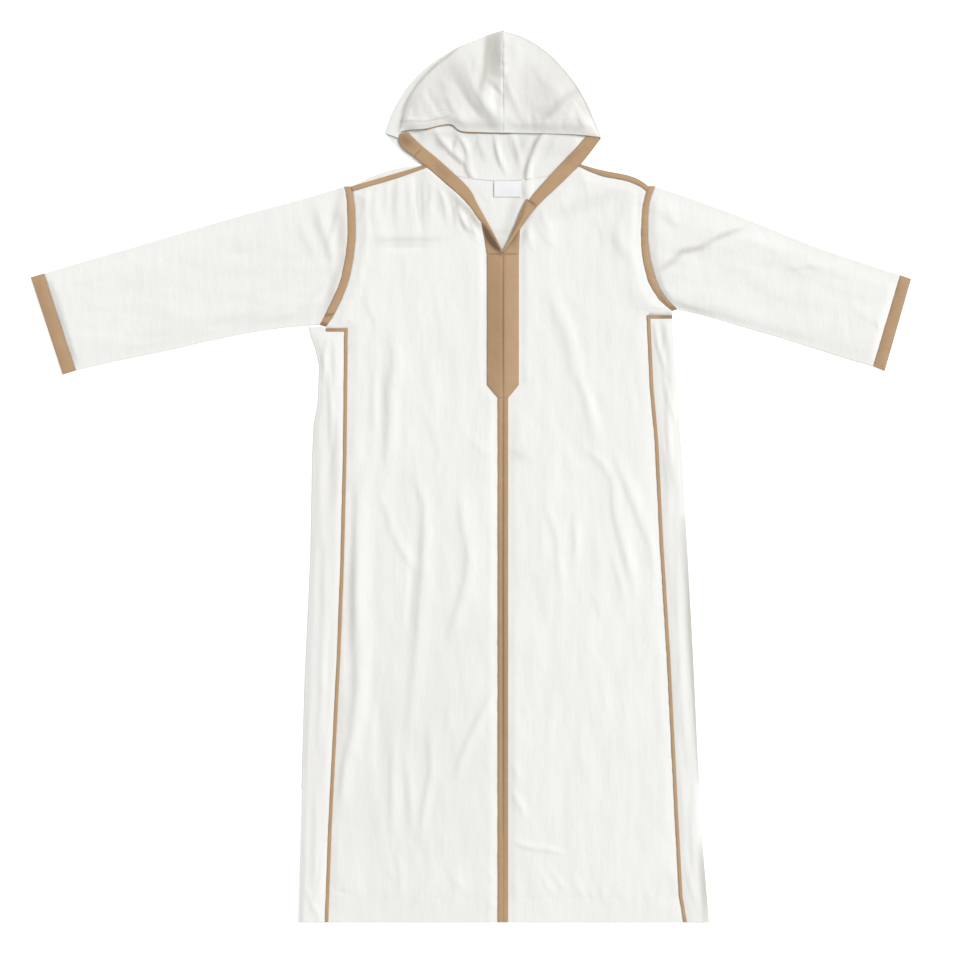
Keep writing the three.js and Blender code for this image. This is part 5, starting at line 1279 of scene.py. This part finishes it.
def cuff(side):
    """The cuff: a short tube from the end of the sleeve."""
    rows = side["cuff"]
    share = spaced(CUFF_ACROSS, PANEL_STEP)[None, :]
    s = inset(share, CUFF_INSIDE, FLAT_TOP / 2)
    t = spaced(CUFF_LENGTH, BAND_STEP)[:, None]
    low = rows["low_out"], rows["low_y"]
    top = rows["top_out"], rows["top_y"]
    near, far = ([low[axis][end] + (top[axis][end] - low[axis][end]) * s for axis in (0, 1)]
                 for end in (0, 1))
    near = moved(near, far, SEAM_GAP)
    out, y = (near[axis] + (far[axis] - near[axis]) * t for axis in (0, 1))
    x = CENTRE_X + side["sign"] * out
    calm = smoothstep(np.minimum(share, 1 - share) * CUFF_ACROSS, *CUFF_CALM)
    wrinkles = hills(x, y, "cuff_wrinkle") + hills(x, y, "cuff_crumple")
    stitched = dip(t * CUFF_LENGTH - CUFF_STITCH_IN, *CUFF_STITCH)
    z = FLAT_TOP + calm * (CUFF_ARCH * arch(t) + wrinkles - stitched)
    return turned(plan(side, out, y, z), both=True)


for side in SIDES:
    for tube in (armhole_band, cuff):
        make(f"tape_{tube.__name__}_{side['name']}", tube(side), rests_on=["floor"], held="folded",
             thickness=TAPE, slot="trim")

# %% [markdown]
# ## The hood
#
# The hood's halves are folded down over the neck. From its front edge each half runs up over the top to
# the outline, turns there and comes back along the floor to the neckline. The centre seam pulls the cloth
# in, so small puckers stand along it, and a crease runs just inside the outline.

# %% Hood halves
HOOD_PUFF = 5.0 * MM
HOOD_STEP = 3 * MM
HOOD_EDGE = 260 * MM  # its lengths along the front edge, from there up to the crease, and back underneath
HOOD_REACH = 150 * MM
HOOD_UNDER = 250 * MM
UNDER_STEP = 5 * MM
UNDER_RIM = 2 * MM
RIM_STEPS = 4  # from the crease to where the cloth turns
CREASE_CLEAR = 1 * MM  # how far the crease stays inside that turn
BESIDE = 0.01  # the share along the outline over which its direction is taken
FOLD_SHARE = 0.25  # how much of the folds is left at the front edge
FOLD_GROWS = 5  # how fast they grow from there, for each share of the way up
FOLD_ENDS = 3  # how fast they go towards the crease
HOOD_CORNER = (0.72, 0.92)  # the share of the front edge over which the half flattens to its corner
HOOD_END = (0.75, 1)  # the same for its puff
HOOD_SLOPE = (0.2, 1)  # where its top comes down, from the front edge to the crease
HOOD_CREASE_RAMP = (0.85, 1)
HOOD_SEAM_OPENS = (0, 0.3)
CENTRE_BLEND = (0, 0.12)
SEAM_PUCKER_REACH = 7 * MM
SEAM_DEPTH = 0.8 * MM
SEAM_WIDTH = 1.5 * MM
TOPSTITCH_IN = 24 * MM  # how far the front edge is turned in
TOPSTITCH = (0.45 * MM, 1.4 * MM)
EDGE_WAVE_REACH = 22 * MM
CREASE_DIP = (0.9 * MM, 0.35)
NECK_LAP = 2.5 * MM  # how far the hood's neck edge lies over the back panel's
LAP_LIFT = 0.12 * MM
LAP_RAMP = (2 * MM, 7 * MM)


# %% The outline of a half
def hood_outline(side, s):
    """The outline of a half, from the peak to its corner."""
    rows = side["hood"]
    return smooth(rows["out"], s), smooth(rows["y"], s)


def hood_inset(side, s, distance):
    """The outline moved inwards. At the centre seam it moves straight down, so that the halves meet."""
    before = hood_outline(side, np.maximum(s - BESIDE, 0))
    after = hood_outline(side, np.minimum(s + BESIDE, 1))
    length = np.hypot(after[0] - before[0], after[1] - before[1])
    away_out, away_y = (before[1] - after[1]) / length, (after[0] - before[0]) / length
    blend = smoothstep(s, *CENTRE_BLEND)
    away_out, away_y = away_out * blend, 1 + (away_y - 1) * blend
    size = np.hypot(away_out, away_y)
    out, y = hood_outline(side, s)
    return out - away_out / size * distance, y - away_y / size * distance


# %% The upper layer of a half
def hood_height(side, s, t, out, y, sewn_y):
    """The top of a half: high at the front edge, puffed and folded behind it, drawn in along the seam."""
    x = CENTRE_X + side["sign"] * out
    corner = smoothstep(s, *HOOD_CORNER)
    lowered = np.maximum(corner, smoothstep(t, *HOOD_SLOPE))
    edge_top = HOOD_FACE_TOP + (HOOD_FOLD_TOP - HOOD_FACE_TOP) * lowered
    calm = arch(t) * (1 - smoothstep(s, *HOOD_END))
    folds = fold_lift(FOLDS["hood_" + side["name"]], out, y, side["sign"])
    folds = folds + hills(x, y, "hood_swell") + hills(x, y, "hood_small")
    kept_share = np.minimum(FOLD_GROWS * t + FOLD_SHARE, FOLD_ENDS * (1 - t))
    folds = folds * np.minimum(1, kept_share) * (1 - corner)
    seam = hills(x, y, "hood_seam") * np.exp(-out / SEAM_PUCKER_REACH)
    seam = seam - dip(out, SEAM_DEPTH * (1 + hills(0 * y, y, "hood_groove")), SEAM_WIDTH)
    wave = hills(x, y, "hood_edge") * np.exp(-sewn_y / EDGE_WAVE_REACH) * (1 - corner)
    topstitch = dip(sewn_y - TOPSTITCH_IN, *TOPSTITCH) * (1 - corner)
    before_crease = 1 - smoothstep(t, *HOOD_CREASE_RAMP)
    return edge_top + np.maximum(HOOD_PUFF * calm + folds, 0) + (seam - topstitch + wave) * before_crease


def hood_top(side, s):
    """The upper layer of a half: from its front edge to the crease, and on to where the cloth turns."""
    rows, fold_top = side["hood"], side["hood_fold_top"]
    face = smooth(rows["face_out"], s), smooth(rows["face_y"], s)
    crease = hood_inset(side, s, np.maximum(smooth(rows["crease"], s), fold_top / 2 + CREASE_CLEAR))
    t = spaced(HOOD_REACH, HOOD_STEP)[None, :]
    out, y = (face[axis] + (crease[axis] - face[axis]) * t for axis in (0, 1))
    front = plan(side, out, y, hood_height(side, s, t, out, y, y - face[1]))
    rim = np.arange(1, RIM_STEPS + 1) / RIM_STEPS
    limit = hood_inset(side, s, fold_top / 2)
    rim_out, rim_y = (crease[axis] + (limit[axis] - crease[axis]) * rim for axis in (0, 1))
    rim_z = HOOD_FOLD_TOP + (fold_top - HOOD_FOLD_TOP) * smoothstep(rim, 0, 1) - dip(rim, *CREASE_DIP)
    return np.concatenate([front, plan(side, rim_out, rim_y, rim_z + 0 * s)], 1)


# %% The lower layer, and both halves
def hood_under(side, s):
    """The lower layer of a half, a Coons patch on the floor from the turn to the neckline."""
    start = lambda q: hood_inset(side, q, side["hood_fold_top"] / 2)
    neck = lambda q: back_neck(side, q, -NECK_LAP)

    def lower_side(q):
        """A curve from the corner to the neck, drawn towards a third place: (1-q)^2, 2q(1-q) and q^2."""
        a, b = start(np.ones_like(q)), neck(np.ones_like(q))
        return tuple(a[axis] * (1 - q) ** 2 + 2 * side["hood_side"][axis] * q * (1 - q) + b[axis] * q**2
                     for axis in (0, 1))

    def centre(q):
        """A straight line from the peak to the neck."""
        a, b = start(np.zeros_like(q)), neck(np.zeros_like(q))
        return tuple(a[axis] + (b[axis] - a[axis]) * q for axis in (0, 1))

    q = spaced(HOOD_UNDER, UNDER_STEP, UNDER_RIM)[None, :]
    out, y = patch(start, neck, centre, lower_side, q, s)
    lifted = inside_lift(CENTRE_X + side["sign"] * out, y)
    lapped = LAP_LIFT * (1 - smoothstep(HOOD_UNDER * (1 - q), *LAP_RAMP))
    return plan(side, out, y, lifted + lapped)


def hood_half(side):
    """One half: its upper layer, a half round turn at the outline, and its lower layer."""
    s = spaced(HOOD_EDGE, HOOD_STEP)[:, None]
    top = hood_top(side, s)
    grid = np.concatenate([top, half_turn(top[:, -1], top[:, -2]), hood_under(side, s)], 1)
    grid[..., 0] += side["sign"] * HALF_GAP * (1 - smoothstep(s, *HOOD_SEAM_OPENS))
    return grid


for side in SIDES:
    make("cloth_hood_" + side["name"], hood_half(side), rests_on=["floor"], held="folded")

# %% [markdown]
# ## Bands and tapes on the front
#
# A tape is a strip between two lines. It lies on the front layer, a little above it, and its rims bend
# down to the cloth. Two rows of stitches pull it down just inside its rims.


# %% A strip between two lines
TAPE_RIM = (0.45 * MM, 0.9 * MM)  # how far the rims of a tape bend down, and how wide
TAPE_STITCH_IN = 2 * MM
TAPE_STITCH = (0.22 * MM, 0.8 * MM)


def strip(side, left, right, width, height, step=BAND_STEP):
    """A strip whose rows run across from one line to the other, with the height above the floor."""
    share = spaced(width, step)
    out, y = (left[axis][:, None] + (right[axis] - left[axis])[:, None] * share for axis in (0, 1))
    x = CENTRE_X + side["sign"] * out
    inside = np.minimum(share, 1 - share) * np.hypot(right[0] - left[0], right[1] - left[1])[:, None]
    sunk = dip(inside, *TAPE_RIM) + dip(inside - TAPE_STITCH_IN, *TAPE_STITCH)
    z = height(x, out, y) + hills(x, y, "tape_small") + hills(x, y, "tape_wrinkle") - sunk
    return plan(side, out, y, z)


def on_front(x, out, y):
    """The height of a tape that lies on the front layer."""
    return lay(x, y) + spine(out, y) + ON_TOP

# %% [markdown]
# The placket covers the slit that the wearer's head goes through, and ends in a point. The narrow band
# carries on from there to the hem. Each is two strips that meet on the centre line, because on the robe
# they are the folded edges of the two fronts.

# %% Placket and centre band
MEETING = 0.25 * MM  # how far each centre tape reaches over the centre line, so that no cloth shows
PLACKET_NECK = 2 / 9  # the share of the neck table where the placket ends
PLACKET_TURN = 4 * MM  # how far below the V its outer edge starts to turn in
PLACKET_SEAM_DIP = (0.6 * MM, 1.1 * MM)
PLACKET_SEAM_STEP = 0.9 * MM  # between the rows of the grid at that seam
SPLIT = (0.5 * MM, 1.6 * MM)  # depth and width of the line between the two halves
SPLIT_SHARE = 0.1  # how much of its depth is left near the hem
SPLIT_RAMP = (180 * MM, 320 * MM)


def placket(side):
    """Half the placket: from its point up to the V, where its inner edge follows the neck."""
    neck_out, neck_y = neck_line(side, np.linspace(0, PLACKET_NECK, 30), -HALF_GAP)
    low, high = CENTRE_TOP + SEAM_GAP, neck_y[-1]
    y = low + (high - low) * spaced(high - low, BAND_STEP)
    y = np.sort(np.concatenate([y, PLACKET_SEAM + np.arange(-2, 3) * PLACKET_SEAM_STEP]))
    inner = np.where(y < neck_y[0], -MEETING, np.interp(y, neck_y, neck_out))
    outer = np.interp(y, [low, PLACKET_LOW, neck_y[0] - PLACKET_TURN, high],
                      [CENTRE_HALF, PLACKET_HALF, PLACKET_HALF, neck_out[-1]])

    def height(x, out, y):
        """On the front, with a dip along the seam across it and one between the halves."""
        return on_front(x, out, y) - dip(y - PLACKET_SEAM, *PLACKET_SEAM_DIP) - dip(out, *SPLIT)

    return strip(side, (inner, y), (outer, y), PLACKET_HALF, height)


def centre_band(side):
    """Half the narrow band, from the hem to the point of the placket."""
    y = CENTRE_TOP * spaced(CENTRE_TOP, BAND_STEP)

    def height(x, out, y):
        """On the front, with a dip between the halves that fades towards the hem."""
        split = SPLIT_SHARE + (1 - SPLIT_SHARE) * smoothstep(y, *SPLIT_RAMP)
        return on_front(x, out, y) - split * dip(out, *SPLIT)

    return strip(side, (0 * y - MEETING, y), (0 * y + CENTRE_HALF, y), CENTRE_HALF, height)

# %% [markdown]
# A narrow tape hides the gore's seam and turns out under the arm, and another hides the shoulder seam.
# The piping's corner is mitred: both of its edges turn at the same row.


# %% Piping and shoulder tape
def piping(side):
    """The tape over the gore's seam, up to the underarm and out to the armhole, as two mitred lines."""
    top = side["underarm"]
    y = spaced(top, BAND_STEP)
    arm = spaced(side["corner"] - seam_out(side, top), BAND_STEP)[1:]

    def line(offset_out, offset_y):
        """One edge of the tape: the seam and the line under the arm, each moved out or up."""
        end = top + offset_y
        start = seam_out(side, end * y) + offset_out
        out = np.concatenate([start, start[-1] + (side["corner"] - start[-1]) * arm])
        return out, np.concatenate([end * y, 0 * arm + end])

    return strip(side, line(-PIPING_HALF, PIPING_HALF), line(PIPING_HALF, -PIPING_HALF), 2 * PIPING_HALF,
                 on_front, PIPING_HALF / 2)


SHOULDER_LENGTH = 140 * MM
SHOULDER_WIDTH = 10 * MM


def shoulder_tape(side):
    """The tape along the shoulder seam, whose foot is the front's last row below it."""
    share = spaced(SHOULDER_LENGTH, BAND_STEP)
    top = upper_front(side, 0 * share + 1, share)
    return strip(side, tape_foot(side, share), top, SHOULDER_WIDTH, on_front)

# %% [markdown]
# The facing of the neck runs on up the front edge of the hood, in two lengths that are pieced together.
# The join is a dip on the left and a step on the right, where the lower length lies on top.

# %% Neck bands
NECK_BAND_LENGTH = 330 * MM
NECK_BAND_WIDTH = 26 * MM
NECK_BAND_LIFT = 0.4 * MM
JOIN = {"left": 0.778, "right": 0.335}  # where each neck band is pieced, as a share of its length
JOIN_HALF = 0.001
JOIN_STEP = 4.5 * MM  # how far the lower piece of the right band stands out at its join
JOIN_NARROWS = 0.28  # the share of the length over which that step is taken back
JOIN_LAPS = 0.12  # the share over which the lower piece rises over the upper one
JOIN_RISE = 0.5 * MM
JOIN_DIP = (0.4 * MM, 1.5 * MM)


def neck_band(side):
    """The facing along the neck, from the point of the V to the hood's corner. It is pieced once: on the
    right the lower piece lies over the upper one and is wider there."""
    join = JOIN[side["name"]]
    t = np.sort(np.concatenate([spaced(NECK_BAND_LENGTH, BAND_STEP), [join - JOIN_HALF, join + JOIN_HALF]]))
    outer = neck_line(side, t, HALF_GAP)
    inner = smooth(side["neck"]["inner_out"], t), smooth(side["neck"]["inner_y"], t)
    past = t > join
    if side is RIGHT:
        inner = moved(inner, outer, JOIN_STEP * past * (1 - smoothstep(t, join, join + JOIN_NARROWS)))
        joined = JOIN_RISE * (1 - past) * smoothstep(t, join - JOIN_LAPS, join)
    else:
        joined = -dip((t - join) * NECK_BAND_LENGTH, *JOIN_DIP)

    def height(x, out, y):
        """On the front, with wrinkles that slant and the step or the dip of the join."""
        wrinkles = hills(x + y, y - x, "neck_wrinkle")
        return lay(x, y) + spine(out, y) + NECK_BAND_LIFT + wrinkles + joined[:, None]

    return strip(side, outer, inner, NECK_BAND_WIDTH, height)


for side in SIDES:
    for tape in (placket, centre_band, piping, shoulder_tape, neck_band):
        make(f"tape_{tape.__name__}_{side['name']}", tape(side), rests_on=["front_" + side["name"]],
             thickness=TAPE, slot="trim")

# %% [markdown]
# The facing turns under the hood's front edge, where only a thin line of it shows. The label is a ribbon
# inside the back of the neck, sewn down on all four sides and left blank.

# %% The facing under the hood's front edge, and the label
EDGE_REACH = 0.67  # the share of the front edge that the facing follows
EDGE_WIDTH = 20 * MM
EDGE_SHOWS = 1.8 * MM  # how much of the facing shows below the front edge
EDGE_HIDES = 2.4 * MM  # how far it goes back under the edge on the right
EDGE_HIDES_RAMP = (0.02, 0.22)
EDGE_DROP = 1.2 * MM  # how far it lies below the edge
EDGE_RIM = (0.3 * MM, 1 * MM)
LABEL_WIDTH = 50 * MM
LABEL_HEIGHT = 30 * MM
LABEL_OUT = 8.3 * MM
LABEL_Y = 1356 * MM
LABEL_LIFT = 1.9 * MM
LABEL_ARCH = 0.5 * MM
LABEL_THICKNESS = 0.3 * MM


def hood_edge_band():
    """The facing follows the front edge of both halves and shows just below it on the left."""
    lines = []
    for side in SIDES:
        s = EDGE_REACH * np.linspace(0, 1, 60)
        hidden = EDGE_HIDES * smoothstep(s, *EDGE_HIDES_RAMP) if side is RIGHT else 0
        x = CENTRE_X + side["sign"] * smooth(side["hood"]["face_out"], s)
        y = HEM_Y + smooth(side["hood"]["face_y"], s) - (EDGE_SHOWS - hidden)
        lines.append(np.stack([x, y, 0 * s], -1))
    low = np.concatenate([lines[0][::-1], lines[1][1:]])
    share = spaced(EDGE_WIDTH, PANEL_STEP)[None, :, None]
    grid = low[:, None] + share * np.array([0, EDGE_WIDTH, 0])
    grid[..., 2] = HOOD_FACE_TOP - EDGE_DROP - dip(share[..., 0] * EDGE_WIDTH, *EDGE_RIM)
    return grid


def neck_label():
    """A blank label of ribbon, sewn inside the back of the neck."""
    u, v = spaced(LABEL_WIDTH, BAND_STEP)[None, :], spaced(LABEL_HEIGHT, BAND_STEP)[:, None]
    x = CENTRE_X + LABEL_OUT + (u - 0.5) * LABEL_WIDTH
    y = LABEL_Y + (v - 0.5) * LABEL_HEIGHT
    z = LABEL_LIFT + LABEL_ARCH * np.sin(np.pi * v) + hills(x, y, "label")
    return np.stack(np.broadcast_arrays(x, HEM_Y + y, z), -1)


make("tape_hood_edge_band", hood_edge_band(), rests_on=["hood_left", "hood_right"],
     thickness=TAPE, slot="trim")
make("label_neck_label", neck_label(), rests_on=["back_panel"],
     thickness=LABEL_THICKNESS, slot="label")

# %% [markdown]
# ## Sewing
#
# A row of stitches follows a line on a piece, a little inside one of its edges. Each stitch is a short
# thread with both ends sunk in the cloth. All the stitches of one thread are a single mesh: the places of
# one stitch, added to the places along the lines.

# %% Lines to sew along
FACING_Y = 1275 * MM  # the foot of the facing inside the back of the neck
FACING_HALF = 17 * MM
STITCH_PITCH = 3.1 * MM
STITCH_LENGTH = 2.3 * MM
STITCH_RADIUS = 0.24 * MM
STITCH_RISE = 0.35  # how high the middle of a stitch stands over the cloth, in radii
STITCH_RINGS = (0.18, 0.5, 0.82)  # where a stitch is round, as shares of its length
STITCH_TIP = -1.2  # how deep its ends are sunk, in radii
PIPING_STITCH_IN = 1.4 * MM
NECK_STITCH_IN = 2.2 * MM
SLIT_STITCH_IN = 6 * MM
LABEL_STITCH_IN = 1.5 * MM
SECOND_ROW = 2.5 * MM  # between the two rows along the seam of the placket


def rim_line(grid, distance):
    """The line on a grid at a distance from its first column, walked over the cloth."""
    across = cloth_lengths(grid)[0]
    row = np.arange(len(grid))
    column = np.clip((across <= distance).sum(1) - 1, 0, grid.shape[1] - 2)
    step = across[row, column + 1] - across[row, column]
    rest = ((distance - across[row, column]) / np.maximum(step, TINY))[:, None]
    return grid[row, column] * (1 - rest) + grid[row, column + 1] * rest


def both_rims(grid, distance):
    """The lines inside the first column of a grid and inside its last one."""
    return [rim_line(grid, distance), rim_line(grid[:, ::-1], distance)]


def front_of(tube):
    """The front layer of a tube that `turned` closed round both edges."""
    return tube[:, : (tube.shape[1] - 2 * TURN_STEPS + 1) // 2]


def tan_lines(side):
    """The rows of tan thread on one side's tapes."""
    for tape in (placket, centre_band, shoulder_tape):
        yield from both_rims(tape(side), TAPE_STITCH_IN)
    yield from both_rims(piping(side), PIPING_STITCH_IN)
    band = neck_band(side)
    yield from both_rims(band[band.shape[0] // 4:], NECK_STITCH_IN)
    yield from both_rims(front_of(armhole_band(side)).transpose(1, 0, 2), BAND_STITCH_IN)
    yield rim_line(front_of(cuff(side)).transpose(1, 0, 2), CUFF_STITCH_IN)
    out = np.linspace(1 * MM, PLACKET_HALF - 1 * MM, 30)
    x = CENTRE_X + side["sign"] * out
    for y in (PLACKET_SEAM, PLACKET_SEAM - SECOND_ROW):
        yield plan(side, out, y, on_front(x, out, y))


def white_lines(side):
    """The rows of white thread on one side: along the hood's front edge, the hem and the slit."""
    hood = hood_half(side)
    yield rim_line(hood[: int(HOOD_CORNER[0] * len(hood))], TOPSTITCH_IN)
    panel, kept = front_panel(side)
    below = panel[:, : np.argmin(kept[0]) + 1]
    yield rim_line(below.transpose(1, 0, 2), HEM_TURN)
    gusset = gore(side)[0]
    front = gusset[:, : (gusset.shape[1] - TURN_STEPS + 1) // 2]
    yield rim_line(front.transpose(1, 0, 2), HEM_TURN)
    slit = front[front[:, 0, 1] - HEM_Y < SLIT_TOP, ::-1]
    yield rim_line(slit, SLIT_STITCH_IN)
    out = np.linspace(0, FACING_HALF, 12)
    x = CENTRE_X + side["sign"] * out
    yield plan(side, out, FACING_Y, inside_lift(x, FACING_Y + 0 * x) + CLOTH)


# %% Stitches along the lines
def one_stitch():
    """The places of one stitch, as (along, across, up), with its triangles and its quads."""
    ring = [(1, 0), (0, 1), (-1, 0), (0, -1)]
    rings = [(along, *place) for along in STITCH_RINGS for place in ring]
    places = np.array([(0, 0, STITCH_TIP), *rings, (1, 0, STITCH_TIP)], float)
    after = [1, 2, 3, 0]
    tips = [(0, 1 + after[i], 1 + i) for i in range(4)] + [(13, 9 + i, 9 + after[i]) for i in range(4)]
    sides = [(r + i, r + after[i], r + 4 + after[i], r + 4 + i) for r in (1, 5) for i in range(4)]
    return places, np.array(tips), np.array(sides)


def sewn_line(line):
    """The start and the end of each stitch along a line."""
    walked = np.concatenate([[0], np.cumsum(np.linalg.norm(np.diff(line, axis=0), axis=1))])
    at = np.arange(STITCH_PITCH, walked[-1] - STITCH_PITCH, STITCH_PITCH)
    ends = [np.stack([np.interp(at + more, walked, line[:, axis]) for axis in range(3)], -1)
            for more in (0, STITCH_LENGTH)]
    return np.stack(ends)


def stitches(name, lines, slot):
    """All the stitches of one thread: start + along * (end - start) + across and up by the radius."""
    start, end = np.concatenate([sewn_line(line) for line in lines], 1)
    along = end - start
    across = np.stack([-along[:, 1], along[:, 0], 0 * along[:, 0]], -1)
    across = across * (STITCH_RADIUS / np.linalg.norm(across, axis=1))[:, None]
    shape, tips, sides = one_stitch()
    places = start[:, None] + along[:, None] * shape[:, :1] + across[:, None] * shape[:, 1:2]
    places[..., 2] += STITCH_RADIUS * (STITCH_RISE + shape[:, 2])
    first = len(shape) * np.arange(len(start))[:, None, None]
    faces = (first + tips).reshape(-1, 3).tolist() + (first + sides).reshape(-1, 4).tolist()
    mesh = bpy.data.meshes.new(name)
    mesh.from_pydata(places.reshape(-1, 3).tolist(), [], faces)
    placed(name, mesh, slot)
    print(f"{name}: {len(start)} stitches")


stitches("stitches_tan", [line for side in SIDES for line in tan_lines(side)], "trim")
stitches("stitches_white", [line for side in SIDES for line in white_lines(side)], "cloth")
ribbon = neck_label()
label_lines = [both_rims(grid, LABEL_STITCH_IN) for grid in (ribbon, ribbon.transpose(1, 0, 2))]
stitches("stitches_label", sum(label_lines, []), "label")

# %% [markdown]
# ## The floor, the light and the camera
#
# A robe laid out for a picture is lit softly from all round, with one broad light from the side, so that
# the folds have a lit and a shaded flank. The camera looks straight down from far away through a long
# lens, which keeps the outline free of perspective.

# %% Floor, light and camera
FIELD = 1776 * MM  # what the square frame takes in at the height of the robe
CAMERA_HEIGHT = 6.0
SENSOR = 36.0
VIEW_CENTRE = (16.7 * MM, -7.3 * MM)
FLOOR_HALF = 12.0
FLOOR_DROP = 0.05 * MM  # keeps the floor from flickering through the cloth that lies on it
SUN_TURN = (np.radians(-24), np.radians(48), 0)

floor_mesh = bpy.data.meshes.new("floor")
corners = [(FLOOR_HALF * x, FLOOR_HALF * y, 0) for x, y in ((-1, -1), (1, -1), (1, 1), (-1, 1))]
floor_mesh.from_pydata(corners, [], [(0, 1, 2, 3)])
floor = bpy.data.objects.new("floor", floor_mesh)
floor.location.z = -FLOOR_DROP
floor_mesh.materials.append(FLOOR_FINISH)
bpy.context.scene.collection.objects.link(floor)

sun = bpy.data.lights.new("side_light", "SUN")
sun.energy = 2.75
sun.angle = np.radians(35)
sun_object = bpy.data.objects.new("side_light", sun)
sun_object.rotation_euler = SUN_TURN
bpy.context.scene.collection.objects.link(sun_object)

world = bpy.data.worlds.new("studio")
world.use_nodes = True
sky = world.node_tree.nodes["Background"]
sky.inputs["Color"].default_value = (1, 1, 1, 1)
sky.inputs["Strength"].default_value = 0.555
bpy.context.scene.world = world
bpy.context.scene.view_settings.view_transform = "Standard"

camera = bpy.data.cameras.new("camera")
camera.sensor_width = SENSOR
camera.lens = SENSOR * CAMERA_HEIGHT / FIELD
camera.clip_end = 50
camera_object = bpy.data.objects.new("camera", camera)
camera_object.location = (*VIEW_CENTRE, CAMERA_HEIGHT)
bpy.context.scene.collection.objects.link(camera_object)
bpy.context.scene.camera = camera_object
print(f"camera {CAMERA_HEIGHT} m up, with a {camera.lens:.1f} mm lens")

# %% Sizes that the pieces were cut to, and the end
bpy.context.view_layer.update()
for node, width, length, area in SHEETS:
    print(f"{node}: cut {1000 * width:.0f} x {1000 * length:.0f} mm, {area:.3f} square metres")
